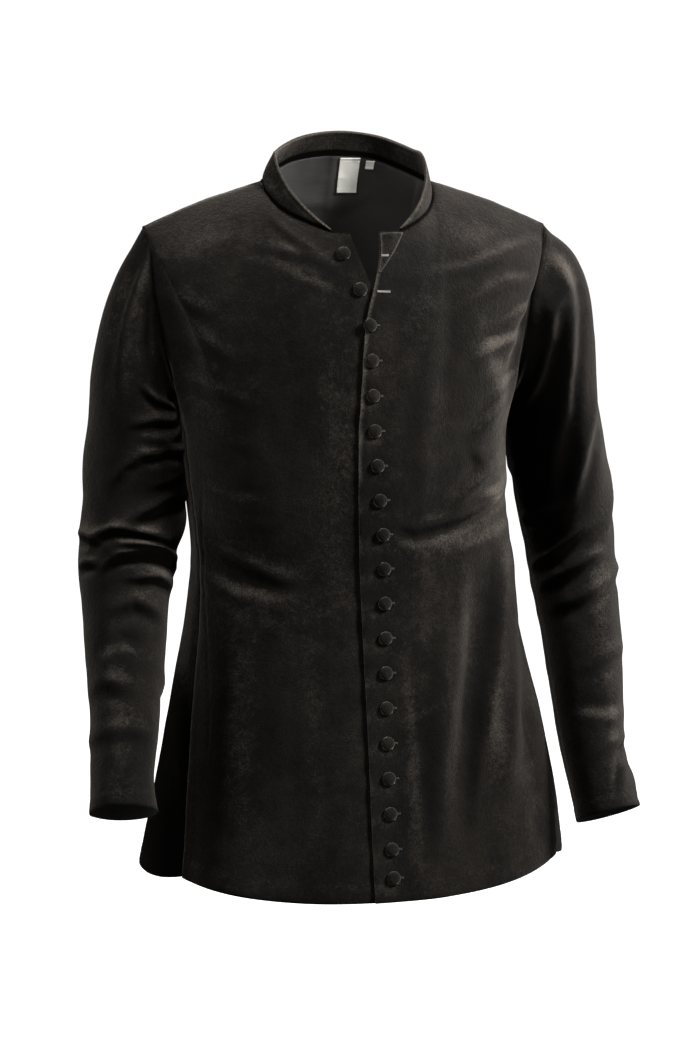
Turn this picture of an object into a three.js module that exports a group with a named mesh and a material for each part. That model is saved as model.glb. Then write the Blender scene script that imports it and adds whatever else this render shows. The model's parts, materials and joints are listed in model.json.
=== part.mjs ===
// A cotehardie: a fitted, hip-length velvet jacket with a low stand collar, set-in sleeves, a flared
// skirt and nineteen covered buttons, filled out as if worn, with nobody in it.
// Millimetres, +Z up. The front faces -Y and the wearer's left is +X. Z is zero at the neck points,
// where the shoulder seams meet the collar, and the origin lies between them on the centre line.
// Every piece of cloth is a wall: a grid of outer points, the same points moved inward by the
// cloth's thickness, and rims along the free edges.

import * as THREE from "three";

const LEFT = 1;
const RIGHT = -1;

const CLOTH = 2.2; // velvet with its lining
const COLLAR_CLOTH = 2.8; // two layers of velvet and a stiffener
const LINING_CLOTH = 0.9;
const LABEL_CLOTH = 0.8;
const SEAM_GAP = 0.3; // between two pieces that are sewn together
const OVERLAP_GAP = 0.8; // between the two fronts where one lies on the other

const NECK_COLUMNS = 5;
const SHOULDER_COLUMNS = 4;
const ARMHOLE_COLUMNS = 7;
const HALF_COLUMNS = NECK_COLUMNS + SHOULDER_COLUMNS + ARMHOLE_COLUMNS;
const YOKE_ROWS = 8; // from the top edge down to CHEST_Z
const SKIRT_ROWS = 15; // from CHEST_Z down to the hem
const SLEEVE_CAP_ROWS = 5;
const SLEEVE_ROWS = 19;

const CHEST_Z = -300;
const HEM_Z = -769; // at the side seams
const HEM_DROP = 22; // the hem is this much lower at the middle of front and back
const VENT_TOP_Z = -640;
const VENT_SPREAD = 5;
const EDGE_REACH = 0.45; // the share of a front, from its free edge, whose columns follow that edge
const SQUARENESS = 2.35; // 2 is an ellipse, more is flatter in front and behind
const HEM_SWEEP_FRONT = 0.9; // a smaller power keeps the hem low for longer
const HEM_SWEEP_BACK = 0.65;
const OVER_FLAT_X = 30; // the over front lies on the under front up to here
const OVER_DOWN_X = 85; // and has come down to the body's own surface here
const FOLD_STEPS = 12; // points along a fold's route
const LEFT_FOLD_SHARE = 0.7; // the straighter left arm folds less
const LEFT_FOLD_LIFT = 12; // and its folds sit this much higher

const BUTTON_RADIUS = 7.6;
const BUTTON_FOOT_RADIUS = 6.5;
const BUTTON_HEIGHT = 5.2;
const BUTTON_RIM = 1.5; // height of its widest place
const BUTTON_TOP_Z = -74;
const BUTTON_PITCH = 38.75;
const BUTTON_LAST_PITCH = 31; // the lowest one sits closer to the one above
const BUTTON_COUNT = 19;
const UNDONE_BUTTONS = 2;
const BUTTON_SEAT = 0.4;
const BUTTON_SIDES = 10;
const BUTTON_STEPS = 3;

const LINING_GAP = 0.3;
const LINING_TOP_GAP = 0.9;
const LINING_ROWS = 6;
const LINING_SHORT = 0.08; // how far its top edge stops short of the neck seam, as a share of a row
const LABEL_GAP = 0.35;
const TAB_COLUMNS = 3;
const TAB_ROWS = 4;
const MAIN_LABEL = { x: 12, top: 22, wide: 23, tall: 40 };
const SIZE_TAB = { x: 35, top: 19, wide: 9, tall: 9 };

const CORNER_WIDE = 29; // of the over front's top corner that is folded outward
const CORNER_TALL = 42;
const CORNER_POINT = 3; // its width at its lower point
const CORNER_DROP = 1.5; // below the front's top edge
const CORNER_INSET = 1.2; // from the front's free edge
const CORNER_GAP = 0.5;
const CORNER_PUFF = 2;
const CORNER_COLUMNS = 4;
const CORNER_ROWS = 5;

const v3 = (x, y, z) => new THREE.Vector3(x, y, z);
const radians = THREE.MathUtils.degToRad;

// ---------------------------------------------------------------- tables of the cut

// The body's outline at each height: half its width, its depth in front and behind, and how far
// in front of the widest place its side seam runs, in degrees.
const BODY = [
  { z: -180, halfWidth: 188, front: 116, back: 110, seam: 3 },
  { z: -240, halfWidth: 188, front: 121, back: 111, seam: 4 },
  { z: -300, halfWidth: 188, front: 125, back: 108, seam: 6 },
  { z: -430, halfWidth: 186, front: 121, back: 98, seam: 10 },
  { z: -520, halfWidth: 198, front: 129, back: 110, seam: 15 },
  { z: -620, halfWidth: 222, front: 144, back: 131, seam: 22 },
  { z: -720, halfWidth: 241, front: 161, back: 149, seam: 27 },
  { z: -800, halfWidth: 250, front: 176, back: 162, seam: 30 },
];

// How far the whole body sways to the wearer's left of the centre line, as it stands.
const SWAY = [
  { z: 0, x: 0 },
  { z: -46, x: 3 },
  { z: -90, x: -3 },
  { z: -130, x: -9 },
  { z: -240, x: -9 },
  { z: -310, x: -6 },
  { z: -430, x: 2 },
  { z: -520, x: 4 },
  { z: -620, x: 6 },
  { z: -720, x: 6 },
  { z: -800, x: 2 },
];

// The free edge of each front and the line of the buttons, as x at each height. Above the third
// button the two fronts fall apart.
const EDGES = [
  { z: -50, over: 12, under: -20, buttons: -38 },
  { z: -76, over: 10, under: -13, buttons: -28 },
  { z: -112, over: 1, under: 0, buttons: -14 },
  { z: -152, over: -10, under: 10, buttons: -6 },
  { z: -229, over: -17, under: 12, buttons: -4 },
  { z: -270, over: -20, under: 14, buttons: -2 },
  { z: -345, over: -20, under: 20, buttons: 4 },
  { z: -383, over: -19, under: 23, buttons: 8 },
  { z: -460, over: -17, under: 25, buttons: 10 },
  { z: -600, over: -14, under: 24, buttons: 8 },
  { z: -800, over: -14, under: 24, buttons: 8 },
];

// The neck edge of half a front, from where the collar starts to the neck point, and of half the
// back, from the centre to the neck point; then the shoulder tip and the armhole from it down to
// just above the underarm. x is away from the centre line.
const NECK_POINT = { x: 98, y: 16, z: 6 };
const NECK_FRONT = [
  { x: 40, y: -76, z: -50 },
  { x: 60, y: -66, z: -42 },
  { x: 80, y: -44, z: -31 },
  { x: 94, y: -15, z: -15 },
  NECK_POINT,
];
const NECK_BACK = [
  { x: 0, y: 73, z: 29 },
  { x: 40, y: 70, z: 26 },
  { x: 74, y: 55, z: 18 },
  { x: 93, y: 35, z: 10 },
  NECK_POINT,
];
const TOP_EDGE_Y = -85;
const TOP_EDGE_Z = -50;
const SHOULDER_MIDDLE = { x: 168, y: 20, z: -16 };
const SHOULDER_TIP = { x: 237, y: 25, z: -45 };
const ARMHOLE_FRONT = [
  SHOULDER_TIP,
  { x: 233, y: 9, z: -54 },
  { x: 230, y: -5, z: -77 },
  { x: 222, y: -21, z: -118 },
  { x: 214, y: -31, z: -158 },
  { x: 206, y: -34, z: -194 },
  { x: 197, y: -25, z: -224 },
];
const ARMHOLE_BACK = [
  SHOULDER_TIP,
  { x: 234, y: 41, z: -53 },
  { x: 233, y: 55, z: -78 },
  { x: 224, y: 66, z: -125 },
  { x: 209, y: 63, z: -170 },
  { x: 194, y: 40, z: -212 },
];
const UNDERARM_Z = -238;
const ARMHOLE_CENTRE = { x: 216, y: 12, z: -148 };
const CURVE_REACH = 0.36; // of a falling curve's handles, as a share of its length

// The way the cloth runs off at its top edge: at the centre, the neck point, the shoulder tip, the
// middle of the armhole and the underarm. at counts columns from the centre.
const FRONT_FALL = [
  { at: 0, x: 0, y: -0.45, z: -0.9, reach: 0.33 },
  { at: 1, x: 0, y: -0.5, z: -0.86, reach: 0.33 },
  { at: 5, x: 0, y: -0.88, z: -0.47, reach: 0.42 },
  { at: 9, x: -0.16, y: -0.8, z: -0.57, reach: 0.4 },
  { at: 12, x: -0.55, y: -0.4, z: -0.8, reach: 0.34 },
  { at: 16, x: 0, y: 0, z: -1, reach: 0.33 },
];
const BACK_FALL = [
  { at: 0, x: 0, y: 0.5, z: -0.87, reach: 0.36 },
  { at: 3, x: 0, y: 0.68, z: -0.73, reach: 0.39 },
  { at: 5, x: 0.05, y: 0.88, z: -0.47, reach: 0.42 },
  { at: 9, x: -0.14, y: 0.86, z: -0.47, reach: 0.4 },
  { at: 12, x: -0.55, y: 0.35, z: -0.8, reach: 0.34 },
  { at: 16, x: 0, y: 0, z: -1, reach: 0.33 },
];

// The sleeves: the middle of the arm, and the sleeve's width and depth across it.
const SLEEVE_RIGHT = [
  { x: 248, y: 24, z: -262, wide: 96, deep: 122 },
  { x: 249, y: 25, z: -310, wide: 105, deep: 120 },
  { x: 248, y: 21, z: -354, wide: 111, deep: 118 },
  { x: 256, y: 11, z: -398, wide: 108, deep: 115 },
  { x: 261, y: -2, z: -433, wide: 104, deep: 112 },
  { x: 265, y: -20, z: -468, wide: 95, deep: 107 },
  { x: 272, y: -58, z: -523, wide: 85, deep: 99 },
  { x: 280, y: -100, z: -583, wide: 72, deep: 90 },
  { x: 291, y: -138, z: -638, wide: 66, deep: 84 },
  { x: 292, y: -157, z: -674, wide: 72, deep: 86 },
];
const SLEEVE_LEFT = [
  { x: 249, y: 24, z: -262, wide: 114, deep: 122 },
  { x: 258, y: 24, z: -314, wide: 114, deep: 120 },
  { x: 269, y: 19, z: -386, wide: 108, deep: 117 },
  { x: 272, y: 12, z: -420, wide: 103, deep: 114 },
  { x: 273, y: 2, z: -455, wide: 99, deep: 110 },
  { x: 276, y: -23, z: -523, wide: 90, deep: 102 },
  { x: 274, y: -53, z: -589, wide: 80, deep: 94 },
  { x: 272, y: -85, z: -656, wide: 70, deep: 86 },
  { x: 281, y: -113, z: -721, wide: 73, deep: 84 },
];
const CAP_REACH_RIGHT = 0.24; // how far the sleeve cap runs outward before it turns down
const CAP_REACH_LEFT = 0.8;

// The collar from its front end to the centre of the back: height, and how far it leans inward.
const COLLAR_SWAY = 4; // of its top edge to the wearer's left
const COLLAR_CURL = 1.3; // more keeps it upright at its foot
const COLLAR = [
  { at: 0, height: 4, lean: 1 },
  { at: 1, height: 14, lean: 5 },
  { at: 2, height: 23, lean: 8 },
  { at: 3, height: 28, lean: 10 },
  { at: 4, height: 29, lean: 11 },
  { at: 6, height: 29, lean: 11 },
  { at: 9, height: 30, lean: 10 },
];

// The largest folds of the body: a soft ridge or trough from one end, over a middle, to the other,
// as x and z on the cloth. wide is its half width and high its height, less than 0 for a trough.
const FRONT_FOLDS = [
  { x1: 176, z1: -430, x2: 166, z2: -545, x3: 148, z3: -650, wide: 24, high: 7 },
  { x1: 128, z1: -480, x2: 118, z2: -600, x3: 104, z3: -720, wide: 26, high: -5 },
  { x1: -150, z1: -470, x2: -158, z2: -600, x3: -172, z3: -770, wide: 28, high: 5 },
  { x1: -96, z1: -560, x2: -104, z2: -680, x3: -112, z3: -780, wide: 30, high: -4 },
  { x1: 70, z1: -540, x2: 62, z2: -660, x3: 56, z3: -780, wide: 30, high: 3 },
  { x1: 176, z1: -225, x2: 140, z2: -275, x3: 152, z3: -330, wide: 20, high: 4 },
  { x1: 168, z1: -352, x2: 120, z2: -372, x3: 50, z3: -362, wide: 20, high: -4 },
  { x1: -172, z1: -392, x2: -130, z2: -410, x3: -84, z3: -424, wide: 20, high: -4 },
  { x1: 200, z1: -92, x2: 160, z2: -110, x3: 112, z3: -140, wide: 18, high: 3 },
  { x1: -92, z1: -40, x2: -62, z2: -62, x3: -30, z3: -86, wide: 16, high: 3 },
];
const BACK_FOLDS = [
  { x1: 0, z1: -430, x2: 4, z2: -600, x3: 8, z3: -780, wide: 34, high: 7 },
  { x1: 78, z1: -450, x2: 92, z2: -610, x3: 104, z3: -780, wide: 30, high: -7 },
  { x1: -78, z1: -440, x2: -90, z2: -610, x3: -102, z3: -780, wide: 30, high: -7 },
  { x1: 150, z1: -470, x2: 166, z2: -620, x3: 180, z3: -770, wide: 30, high: 6 },
  { x1: -150, z1: -460, x2: -164, z2: -620, x3: -178, z3: -770, wide: 30, high: 6 },
  { x1: -120, z1: -372, x2: 0, z2: -392, x3: 116, z3: -376, wide: 20, high: -5 },
  { x1: -140, z1: -425, x2: 0, z2: -440, x3: 130, z3: -420, wide: 18, high: 3 },
  { x1: 170, z1: -190, x2: 150, z2: -250, x3: 120, z3: -310, wide: 22, high: -4 },
  { x1: -170, z1: -190, x2: -152, z2: -250, x3: -124, z3: -310, wide: 22, high: -4 },
];

// The largest folds of the sleeves: height, the way round from the outside through the front in
// degrees, how far the fold spreads each way, how it slants, and its height.
const SLEEVE_FOLDS = [
  { z: -300, round: 120, tall: 17, spread: 55, slant: 0.25, high: 3.5 },
  { z: -345, round: 120, tall: 16, spread: 55, slant: 0.2, high: -3.5 },
  { z: -385, round: 110, tall: 16, spread: 60, slant: 0.2, high: 4 },
  { z: -415, round: 100, tall: 15, spread: 60, slant: 0.15, high: -4.5 },
  { z: -443, round: 100, tall: 15, spread: 70, slant: 0.1, high: 5 },
  { z: -474, round: 90, tall: 16, spread: 60, slant: 0.05, high: -3 },
  { z: -300, round: 300, tall: 22, spread: 60, slant: -0.3, high: 4 },
  { z: -430, round: 270, tall: 22, spread: 50, slant: 0, high: 4 },
  { z: -640, round: 30, tall: 14, spread: 60, slant: 0.2, high: -3 },
];

// ---------------------------------------------------------------- reading the tables

// A smooth value of one column at a place between rows, which run in rising or falling order.
function read(table, key, column, place) {
  const rising = table[table.length - 1][key] > table[0][key];
  const ordered = rising ? table : [...table].reverse();
  const last = ordered.length - 1;
  const at = THREE.MathUtils.clamp(place, ordered[0][key], ordered[last][key]);
  let k = 0;
  while (k < last - 1 && at > ordered[k + 1][key]) k += 1;
  const slopeAt = (i) => {
    if (i === 0 || i === last) return 0;
    const rise = ordered[i + 1][column] - ordered[i - 1][column];
    return rise / (ordered[i + 1][key] - ordered[i - 1][key]);
  };
  const span = ordered[k + 1][key] - ordered[k][key];
  const t = (at - ordered[k][key]) / span;
  const t2 = t * t;
  const t3 = t2 * t;
  return (
    (2 * t3 - 3 * t2 + 1) * ordered[k][column] +
    (t3 - 2 * t2 + t) * span * slopeAt(k) +
    (3 * t2 - 2 * t3) * ordered[k + 1][column] +
    (t3 - t2) * span * slopeAt(k + 1)
  );
}

const pointsOf = (table, side) => table.map((row) => v3(side * row.x, row.y, row.z));

// Evenly spaced points on a smooth curve through a table's points.
function curvePoints(points, segments) {
  return new THREE.CatmullRomCurve3(points, false, "centripetal").getSpacedPoints(segments);
}

// ---------------------------------------------------------------- folds

// The height of the folds at a place on the cloth, each dying away towards its ends and sides.
function foldHeight(folds, x, z) {
  let total = 0;
  for (const fold of folds) {
    const route = new THREE.QuadraticBezierCurve(
      new THREE.Vector2(fold.x1, fold.z1),
      new THREE.Vector2(2 * fold.x2 - (fold.x1 + fold.x3) / 2, 2 * fold.z2 - (fold.z1 + fold.z3) / 2),
      new THREE.Vector2(fold.x3, fold.z3),
    );
    let nearest = Infinity;
    for (const place of route.getPoints(FOLD_STEPS)) {
      nearest = Math.min(nearest, Math.hypot(place.x - x, place.y - z));
    }
    total += fold.high * Math.exp(-((nearest / fold.wide) ** 2));
  }
  return total;
}

function sleeveFoldHeight(side, z, round) {
  let total = 0;
  const lift = side === LEFT ? LEFT_FOLD_LIFT : 0;
  for (const fold of SLEEVE_FOLDS) {
    const around = ((round - fold.round + 540) % 360) - 180;
    const along = (z + lift - fold.z - fold.slant * around) / fold.tall;
    total += fold.high * Math.exp(-(along ** 2) - (around / fold.spread) ** 2);
  }
  return side === LEFT ? LEFT_FOLD_SHARE * total : total;
}

// ---------------------------------------------------------------- walls

const shorter = (p, q, r, s) => p.distanceTo(q) <= r.distanceTo(s);

// A closed wall from a grid of outer points and the inner points behind them. On a tube the last
// column joins the first. Faces run outward when the columns run to the left seen from outside.
// Each cell of a panel is split along its shorter diagonal.
function wall(outer, inner, { tube = false, turned = false } = {}) {
  const rows = outer.length;
  const columns = outer[0].length;
  const count = rows * columns;
  const positions = [...outer.flat(), ...inner.flat()].flatMap((p) => [p.x, p.y, p.z]);
  const indices = [];
  const quad = (a, b, c, d) => {
    if (turned) indices.push(a, c, b, a, d, c);
    else indices.push(a, b, c, a, c, d);
  };
  const spans = tube ? columns : columns - 1;
  for (let j = 0; j < rows - 1; j += 1) {
    for (let i = 0; i < spans; i += 1) {
      const next = (i + 1) % columns;
      const a = j * columns + i;
      const b = j * columns + next;
      const c = b + columns;
      const d = a + columns;
      if (tube || shorter(outer[j][i], outer[j + 1][next], outer[j][next], outer[j + 1][i])) {
        quad(a, d, c, b);
        quad(count + a, count + b, count + c, count + d);
      } else {
        quad(d, c, b, a);
        quad(count + b, count + c, count + d, count + a);
      }
    }
  }
  for (let i = 0; i < spans; i += 1) {
    const next = (i + 1) % columns;
    const foot = (rows - 1) * columns;
    quad(i, next, count + next, count + i);
    quad(foot + next, foot + i, count + foot + i, count + foot + next);
  }
  if (!tube) {
    for (let j = 0; j < rows - 1; j += 1) {
      const a = j * columns;
      const b = a + columns;
      quad(b, a, count + a, count + b);
      const c = a + columns - 1;
      const d = c + columns;
      quad(c, d, count + d, count + c);
    }
  }
  const geometry = new THREE.BufferGeometry();
  geometry.setAttribute("position", new THREE.Float32BufferAttribute(positions, 3));
  geometry.setIndex(indices);
  geometry.computeVertexNormals();
  return geometry;
}

// The outward direction at each point of a grid, from its neighbours.
function gridNormals(grid, { tube = false, turned = false } = {}) {
  const rows = grid.length;
  const columns = grid[0].length;
  const column = (i) => (tube ? (i + columns) % columns : THREE.MathUtils.clamp(i, 0, columns - 1));
  const row = (j) => THREE.MathUtils.clamp(j, 0, rows - 1);
  return grid.map((line, j) =>
    line.map((_, i) => {
      const across = grid[j][column(i + 1)].clone().sub(grid[j][column(i - 1)]);
      const down = grid[row(j + 1)][i].clone().sub(grid[row(j - 1)][i]);
      const normal = down.cross(across).normalize();
      return turned ? normal.negate() : normal;
    }),
  );
}

const movedAlong = (grid, normals, distance) =>
  grid.map((line, j) => line.map((p, i) => p.clone().addScaledVector(normals[j][i], distance)));

// ---------------------------------------------------------------- the body

const swayAt = (z) => read(SWAY, "z", "x", z);
const swayed = (point) => point.setX(point.x + swayAt(point.z));

// A point of the body on the side given, at an angle in front of that side.
function bodyPoint(side, angle, z) {
  const power = 2 / SQUARENESS;
  const across = Math.cos(radians(angle));
  const ahead = Math.sin(radians(angle));
  const depth = read(BODY, "z", ahead > 0 ? "front" : "back", z);
  const x = side * read(BODY, "z", "halfWidth", z) * Math.abs(across) ** power;
  const y = -Math.sign(ahead) * depth * Math.abs(ahead) ** power;
  return v3(x + swayAt(z), y, z);
}

// The hem's height at a share of the way from the middle of the front or back to the side seam.
const hemZ = (share, isFront) => {
  const sweep = isFront ? HEM_SWEEP_FRONT : HEM_SWEEP_BACK;
  return HEM_Z - HEM_DROP * Math.cos((share * Math.PI) / 2) ** sweep;
};

// The shoulder seam, shared by front and back, and the top edges of half a front and half the back.
function topEdge(side, isFront, edgeX) {
  const underarm = bodyPoint(side, read(BODY, "z", "seam", UNDERARM_Z), UNDERARM_Z);
  const neck = isFront
    ? [v3(edgeX, TOP_EDGE_Y, TOP_EDGE_Z), ...curvePoints(pointsOf(NECK_FRONT, side), NECK_COLUMNS - 1)]
    : curvePoints(pointsOf(NECK_BACK, side), NECK_COLUMNS);
  const shoulderTable = [NECK_POINT, SHOULDER_MIDDLE, SHOULDER_TIP];
  const shoulder = curvePoints(pointsOf(shoulderTable, side).map(swayed), SHOULDER_COLUMNS);
  const armholeTable = isFront ? ARMHOLE_FRONT : ARMHOLE_BACK;
  const armholeEdge = [...pointsOf(armholeTable, side).map(swayed), underarm];
  const armhole = curvePoints(armholeEdge, ARMHOLE_COLUMNS);
  return [...neck, ...shoulder.slice(1), ...armhole.slice(1)];
}

// Half a front or half the back, as rows of points from the centre to the side seam.
function bodyGrid(side, isFront, edgeColumn) {
  const edgeAt = (z) => (edgeColumn ? read(EDGES, "z", edgeColumn, z) : 0);
  const top = topEdge(side, isFront, edgeAt(TOP_EDGE_Z));
  const fall = isFront ? FRONT_FALL : BACK_FALL;
  const sign = isFront ? 1 : -1;
  const place = (column, z) => {
    const share = column / HALF_COLUMNS;
    const seam = read(BODY, "z", "seam", z);
    const angle = isFront ? 90 - share * (90 - seam) : -90 + share * (90 + seam);
    const point = bodyPoint(side, angle, z);
    if (!isFront || share > EDGE_REACH) return point;
    point.x += (edgeAt(z) - swayAt(z)) * (1 - share / EDGE_REACH) ** 2;
    const across = Math.abs(point.x - swayAt(z)) / read(BODY, "z", "halfWidth", z);
    point.y = -read(BODY, "z", "front", z) * (1 - across ** SQUARENESS) ** (1 / SQUARENESS);
    return point;
  };
  const grid = [];
  for (let j = 0; j <= YOKE_ROWS + SKIRT_ROWS; j += 1) {
    grid.push([]);
    for (let i = 0; i <= HALF_COLUMNS; i += 1) {
      if (j >= YOKE_ROWS) {
        const hem = hemZ(i / HALF_COLUMNS, isFront);
        const z = THREE.MathUtils.lerp(CHEST_Z, hem, (j - YOKE_ROWS) / SKIRT_ROWS);
        grid[j].push(place(i, z));
        continue;
      }
      const start = top[i];
      const end = place(i, CHEST_Z);
      const length = start.distanceTo(end);
      const way = v3(
        side * read(fall, "at", "x", i),
        read(fall, "at", "y", i),
        read(fall, "at", "z", i),
      ).normalize();
      const below = place(i, CHEST_Z - 20).sub(place(i, CHEST_Z + 20)).normalize();
      const curve = new THREE.CubicBezierCurve3(
        start,
        start.clone().addScaledVector(way, length * read(fall, "at", "reach", i)),
        end.clone().addScaledVector(below, -length * CURVE_REACH),
        end,
      );
      grid[j].push(curve.getPoint(j / YOKE_ROWS));
    }
    if (!isFront || j >= YOKE_ROWS) continue;
    const nearEdge = grid[j].slice(0, NECK_COLUMNS + 3);
    const depths = nearEdge.map((p) => ({ x: Math.abs(p.x - swayAt(p.z)), y: p.y }));
    const shift = edgeAt(grid[j][0].z) - grid[j][0].x;
    depths[0].x = 0;
    grid[j].forEach((p, i) => {
      const share = Math.max(0, 1 - i / HALF_COLUMNS / EDGE_REACH) ** 2;
      if (share === 0) return;
      p.x += shift * share;
      p.y = read(depths, "x", "y", Math.abs(p.x - swayAt(p.z)));
    });
  }
  // The folds, which die away at the seams and edges.
  const normals = gridNormals(grid, { turned: side * sign < 0 });
  const folds = isFront ? FRONT_FOLDS : BACK_FOLDS;
  return grid.map((line, j) =>
    line.map((p, i) => {
      const fromTop = THREE.MathUtils.smoothstep(j, 0, 2);
      const fromSide = THREE.MathUtils.smoothstep(HALF_COLUMNS - i, 0, 2.5);
      const fromEdge = isFront ? THREE.MathUtils.smoothstep(i, 0.5, 3) : 1;
      const high = foldHeight(folds, p.x, p.z) * fromTop * fromSide * fromEdge;
      return p.clone().addScaledVector(normals[j][i], high);
    }),
  );
}

// The way from the outside to the inside of the cloth along the top edge, the same for both of the
// pieces that meet there, so that their rims stay parallel.
function rimDirection(side, column, point) {
  if (column > NECK_COLUMNS + SHOULDER_COLUMNS) {
    return v3(side * ARMHOLE_CENTRE.x, ARMHOLE_CENTRE.y, ARMHOLE_CENTRE.z).sub(point).setX(0).normalize();
  }
  return v3(side * -0.3, 0, -0.95).normalize();
}

// Pulls the pieces apart at the seams: back from the shoulder seam, the armhole and the side seam.
function trimSeams(grid, side, isFront) {
  const away = isFront ? -1 : 1;
  const half = SEAM_GAP / 2;
  return grid.map((line, j) =>
    line.map((p, i) => {
      const moved = p.clone();
      if (j === 0 && i >= NECK_COLUMNS && i < HALF_COLUMNS) moved.y += away * half;
      if (j === 0 && i >= NECK_COLUMNS + SHOULDER_COLUMNS) moved.x -= side * SEAM_GAP;
      if (i === HALF_COLUMNS) {
        const opening = THREE.MathUtils.smoothstep(VENT_TOP_Z - p.z, 0, VENT_TOP_Z - HEM_Z);
        moved.y += away * (half + (VENT_SPREAD / 2) * opening);
      }
      return moved;
    }),
  );
}

function bodyInner(outer, side, isFront) {
  const turned = side * (isFront ? 1 : -1) < 0;
  const normals = gridNormals(outer, { turned });
  return outer.map((line, j) =>
    line.map((p, i) => {
      const onSeam = j === 0 && i >= NECK_COLUMNS;
      if (onSeam) return p.clone().addScaledVector(rimDirection(side, i, p), CLOTH);
      const normal = normals[j][i].clone();
      if (i === HALF_COLUMNS) normal.setY(0).setZ(0).normalize();
      return p.clone().addScaledVector(normal, -CLOTH);
    }),
  );
}

// The over front lies on the under front from its free edge to past the buttons.
function liftOver(grid) {
  const normals = gridNormals(grid, {});
  const full = CLOTH + OVERLAP_GAP;
  return grid.map((line, j) =>
    line.map((p, i) => {
      const share = 1 - THREE.MathUtils.smoothstep(p.x, OVER_FLAT_X, OVER_DOWN_X);
      return p.clone().addScaledVector(normals[j][i], full * share);
    }),
  );
}

function makeFront(side) {
  const plain = bodyGrid(side, true, side === LEFT ? "over" : "under");
  const lifted = side === LEFT ? liftOver(plain) : plain;
  const outer = trimSeams(lifted, side, true);
  return { outer, geometry: wall(outer, bodyInner(outer, side, true), { turned: side === RIGHT }) };
}

function makeBack() {
  const halves = [RIGHT, LEFT].map((side) => {
    const outer = trimSeams(bodyGrid(side, false, null), side, false);
    return { outer, inner: bodyInner(outer, side, false) };
  });
  // From the wearer's left side seam, over the centre, to the right one.
  const join = (name) =>
    halves[1][name].map((line, j) => [...[...line].reverse(), ...halves[0][name][j].slice(1)]);
  const outer = join("outer");
  const inner = join("inner");
  return { outer, inner, geometry: wall(outer, inner) };
}

// ---------------------------------------------------------------- sleeves

// The armhole's points in order round it, from the shoulder tip down the front and up the back,
// with the way round of each in degrees from the outside through the front.
function armholeRing(side) {
  const from = NECK_COLUMNS + SHOULDER_COLUMNS;
  const front = topEdge(side, true, 0).slice(from);
  const back = topEdge(side, false, 0).slice(from);
  const ring = [...front, ...back.slice(1, -1).reverse()];
  return ring.map((point, i) => ({ point, round: (360 * i) / ring.length }));
}

function sleeveGrid(side, table, capReach) {
  const route = table.map((row, i) => ({ ...row, at: i }));
  const at = (column, place) => read(route, "at", column, place);
  const centreAt = (place) => v3(side * at("x", place), at("y", place), at("z", place));
  const last = table.length - 1;
  const section = (place, round) => {
    const ahead = centreAt(Math.min(place + 0.1, last));
    const along = ahead.sub(centreAt(Math.max(place - 0.1, 0))).normalize();
    const out = v3(side, 0, 0).addScaledVector(along, -along.x * side).normalize();
    const front = v3(0, -1, 0).addScaledVector(along, along.y).normalize();
    const angle = radians(round);
    const centre = centreAt(place);
    const fold = sleeveFoldHeight(side, centre.z, round);
    const wide = at("wide", place) / 2 + fold;
    const deep = at("deep", place) / 2 + fold;
    return centre
      .addScaledVector(out, wide * Math.cos(angle))
      .addScaledVector(front, deep * Math.sin(angle));
  };
  const ring = armholeRing(side);
  const setOff = centreAt(0.3).sub(centreAt(0)).normalize();
  const grid = [];
  for (let j = 0; j <= SLEEVE_CAP_ROWS + SLEEVE_ROWS; j += 1) {
    grid.push(
      ring.map(({ point, round }) => {
        if (j > SLEEVE_CAP_ROWS) return section((last * (j - SLEEVE_CAP_ROWS)) / SLEEVE_ROWS, round);
        const start = point.clone().setX(point.x + side * SEAM_GAP);
        const end = section(0, round);
        const length = start.distanceTo(end);
        const outward = Math.max(0, Math.cos(radians(round)) * 0.5 + 0.5);
        const way = v3(side * (0.3 + capReach * outward), 0, -1 + 0.7 * capReach * outward).normalize();
        const curve = new THREE.CubicBezierCurve3(
          start,
          start.clone().addScaledVector(way, length * CURVE_REACH),
          end.clone().addScaledVector(setOff, -length * CURVE_REACH),
          end,
        );
        return curve.getPoint(j / SLEEVE_CAP_ROWS);
      }),
    );
  }
  return grid;
}

function makeSleeve(side, table, capReach) {
  const outer = sleeveGrid(side, table, capReach);
  const turned = side === RIGHT;
  const normals = gridNormals(outer, { tube: true, turned });
  const inner = outer.map((line, j) =>
    line.map((p, i) => {
      const atSeam = j === 0;
      if (!atSeam) return p.clone().addScaledVector(normals[j][i], -CLOTH);
      return p.clone().addScaledVector(rimDirection(side, HALF_COLUMNS, p), CLOTH);
    }),
  );
  return { outer, geometry: wall(outer, inner, { tube: true, turned }) };
}

// ---------------------------------------------------------------- collar

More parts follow.
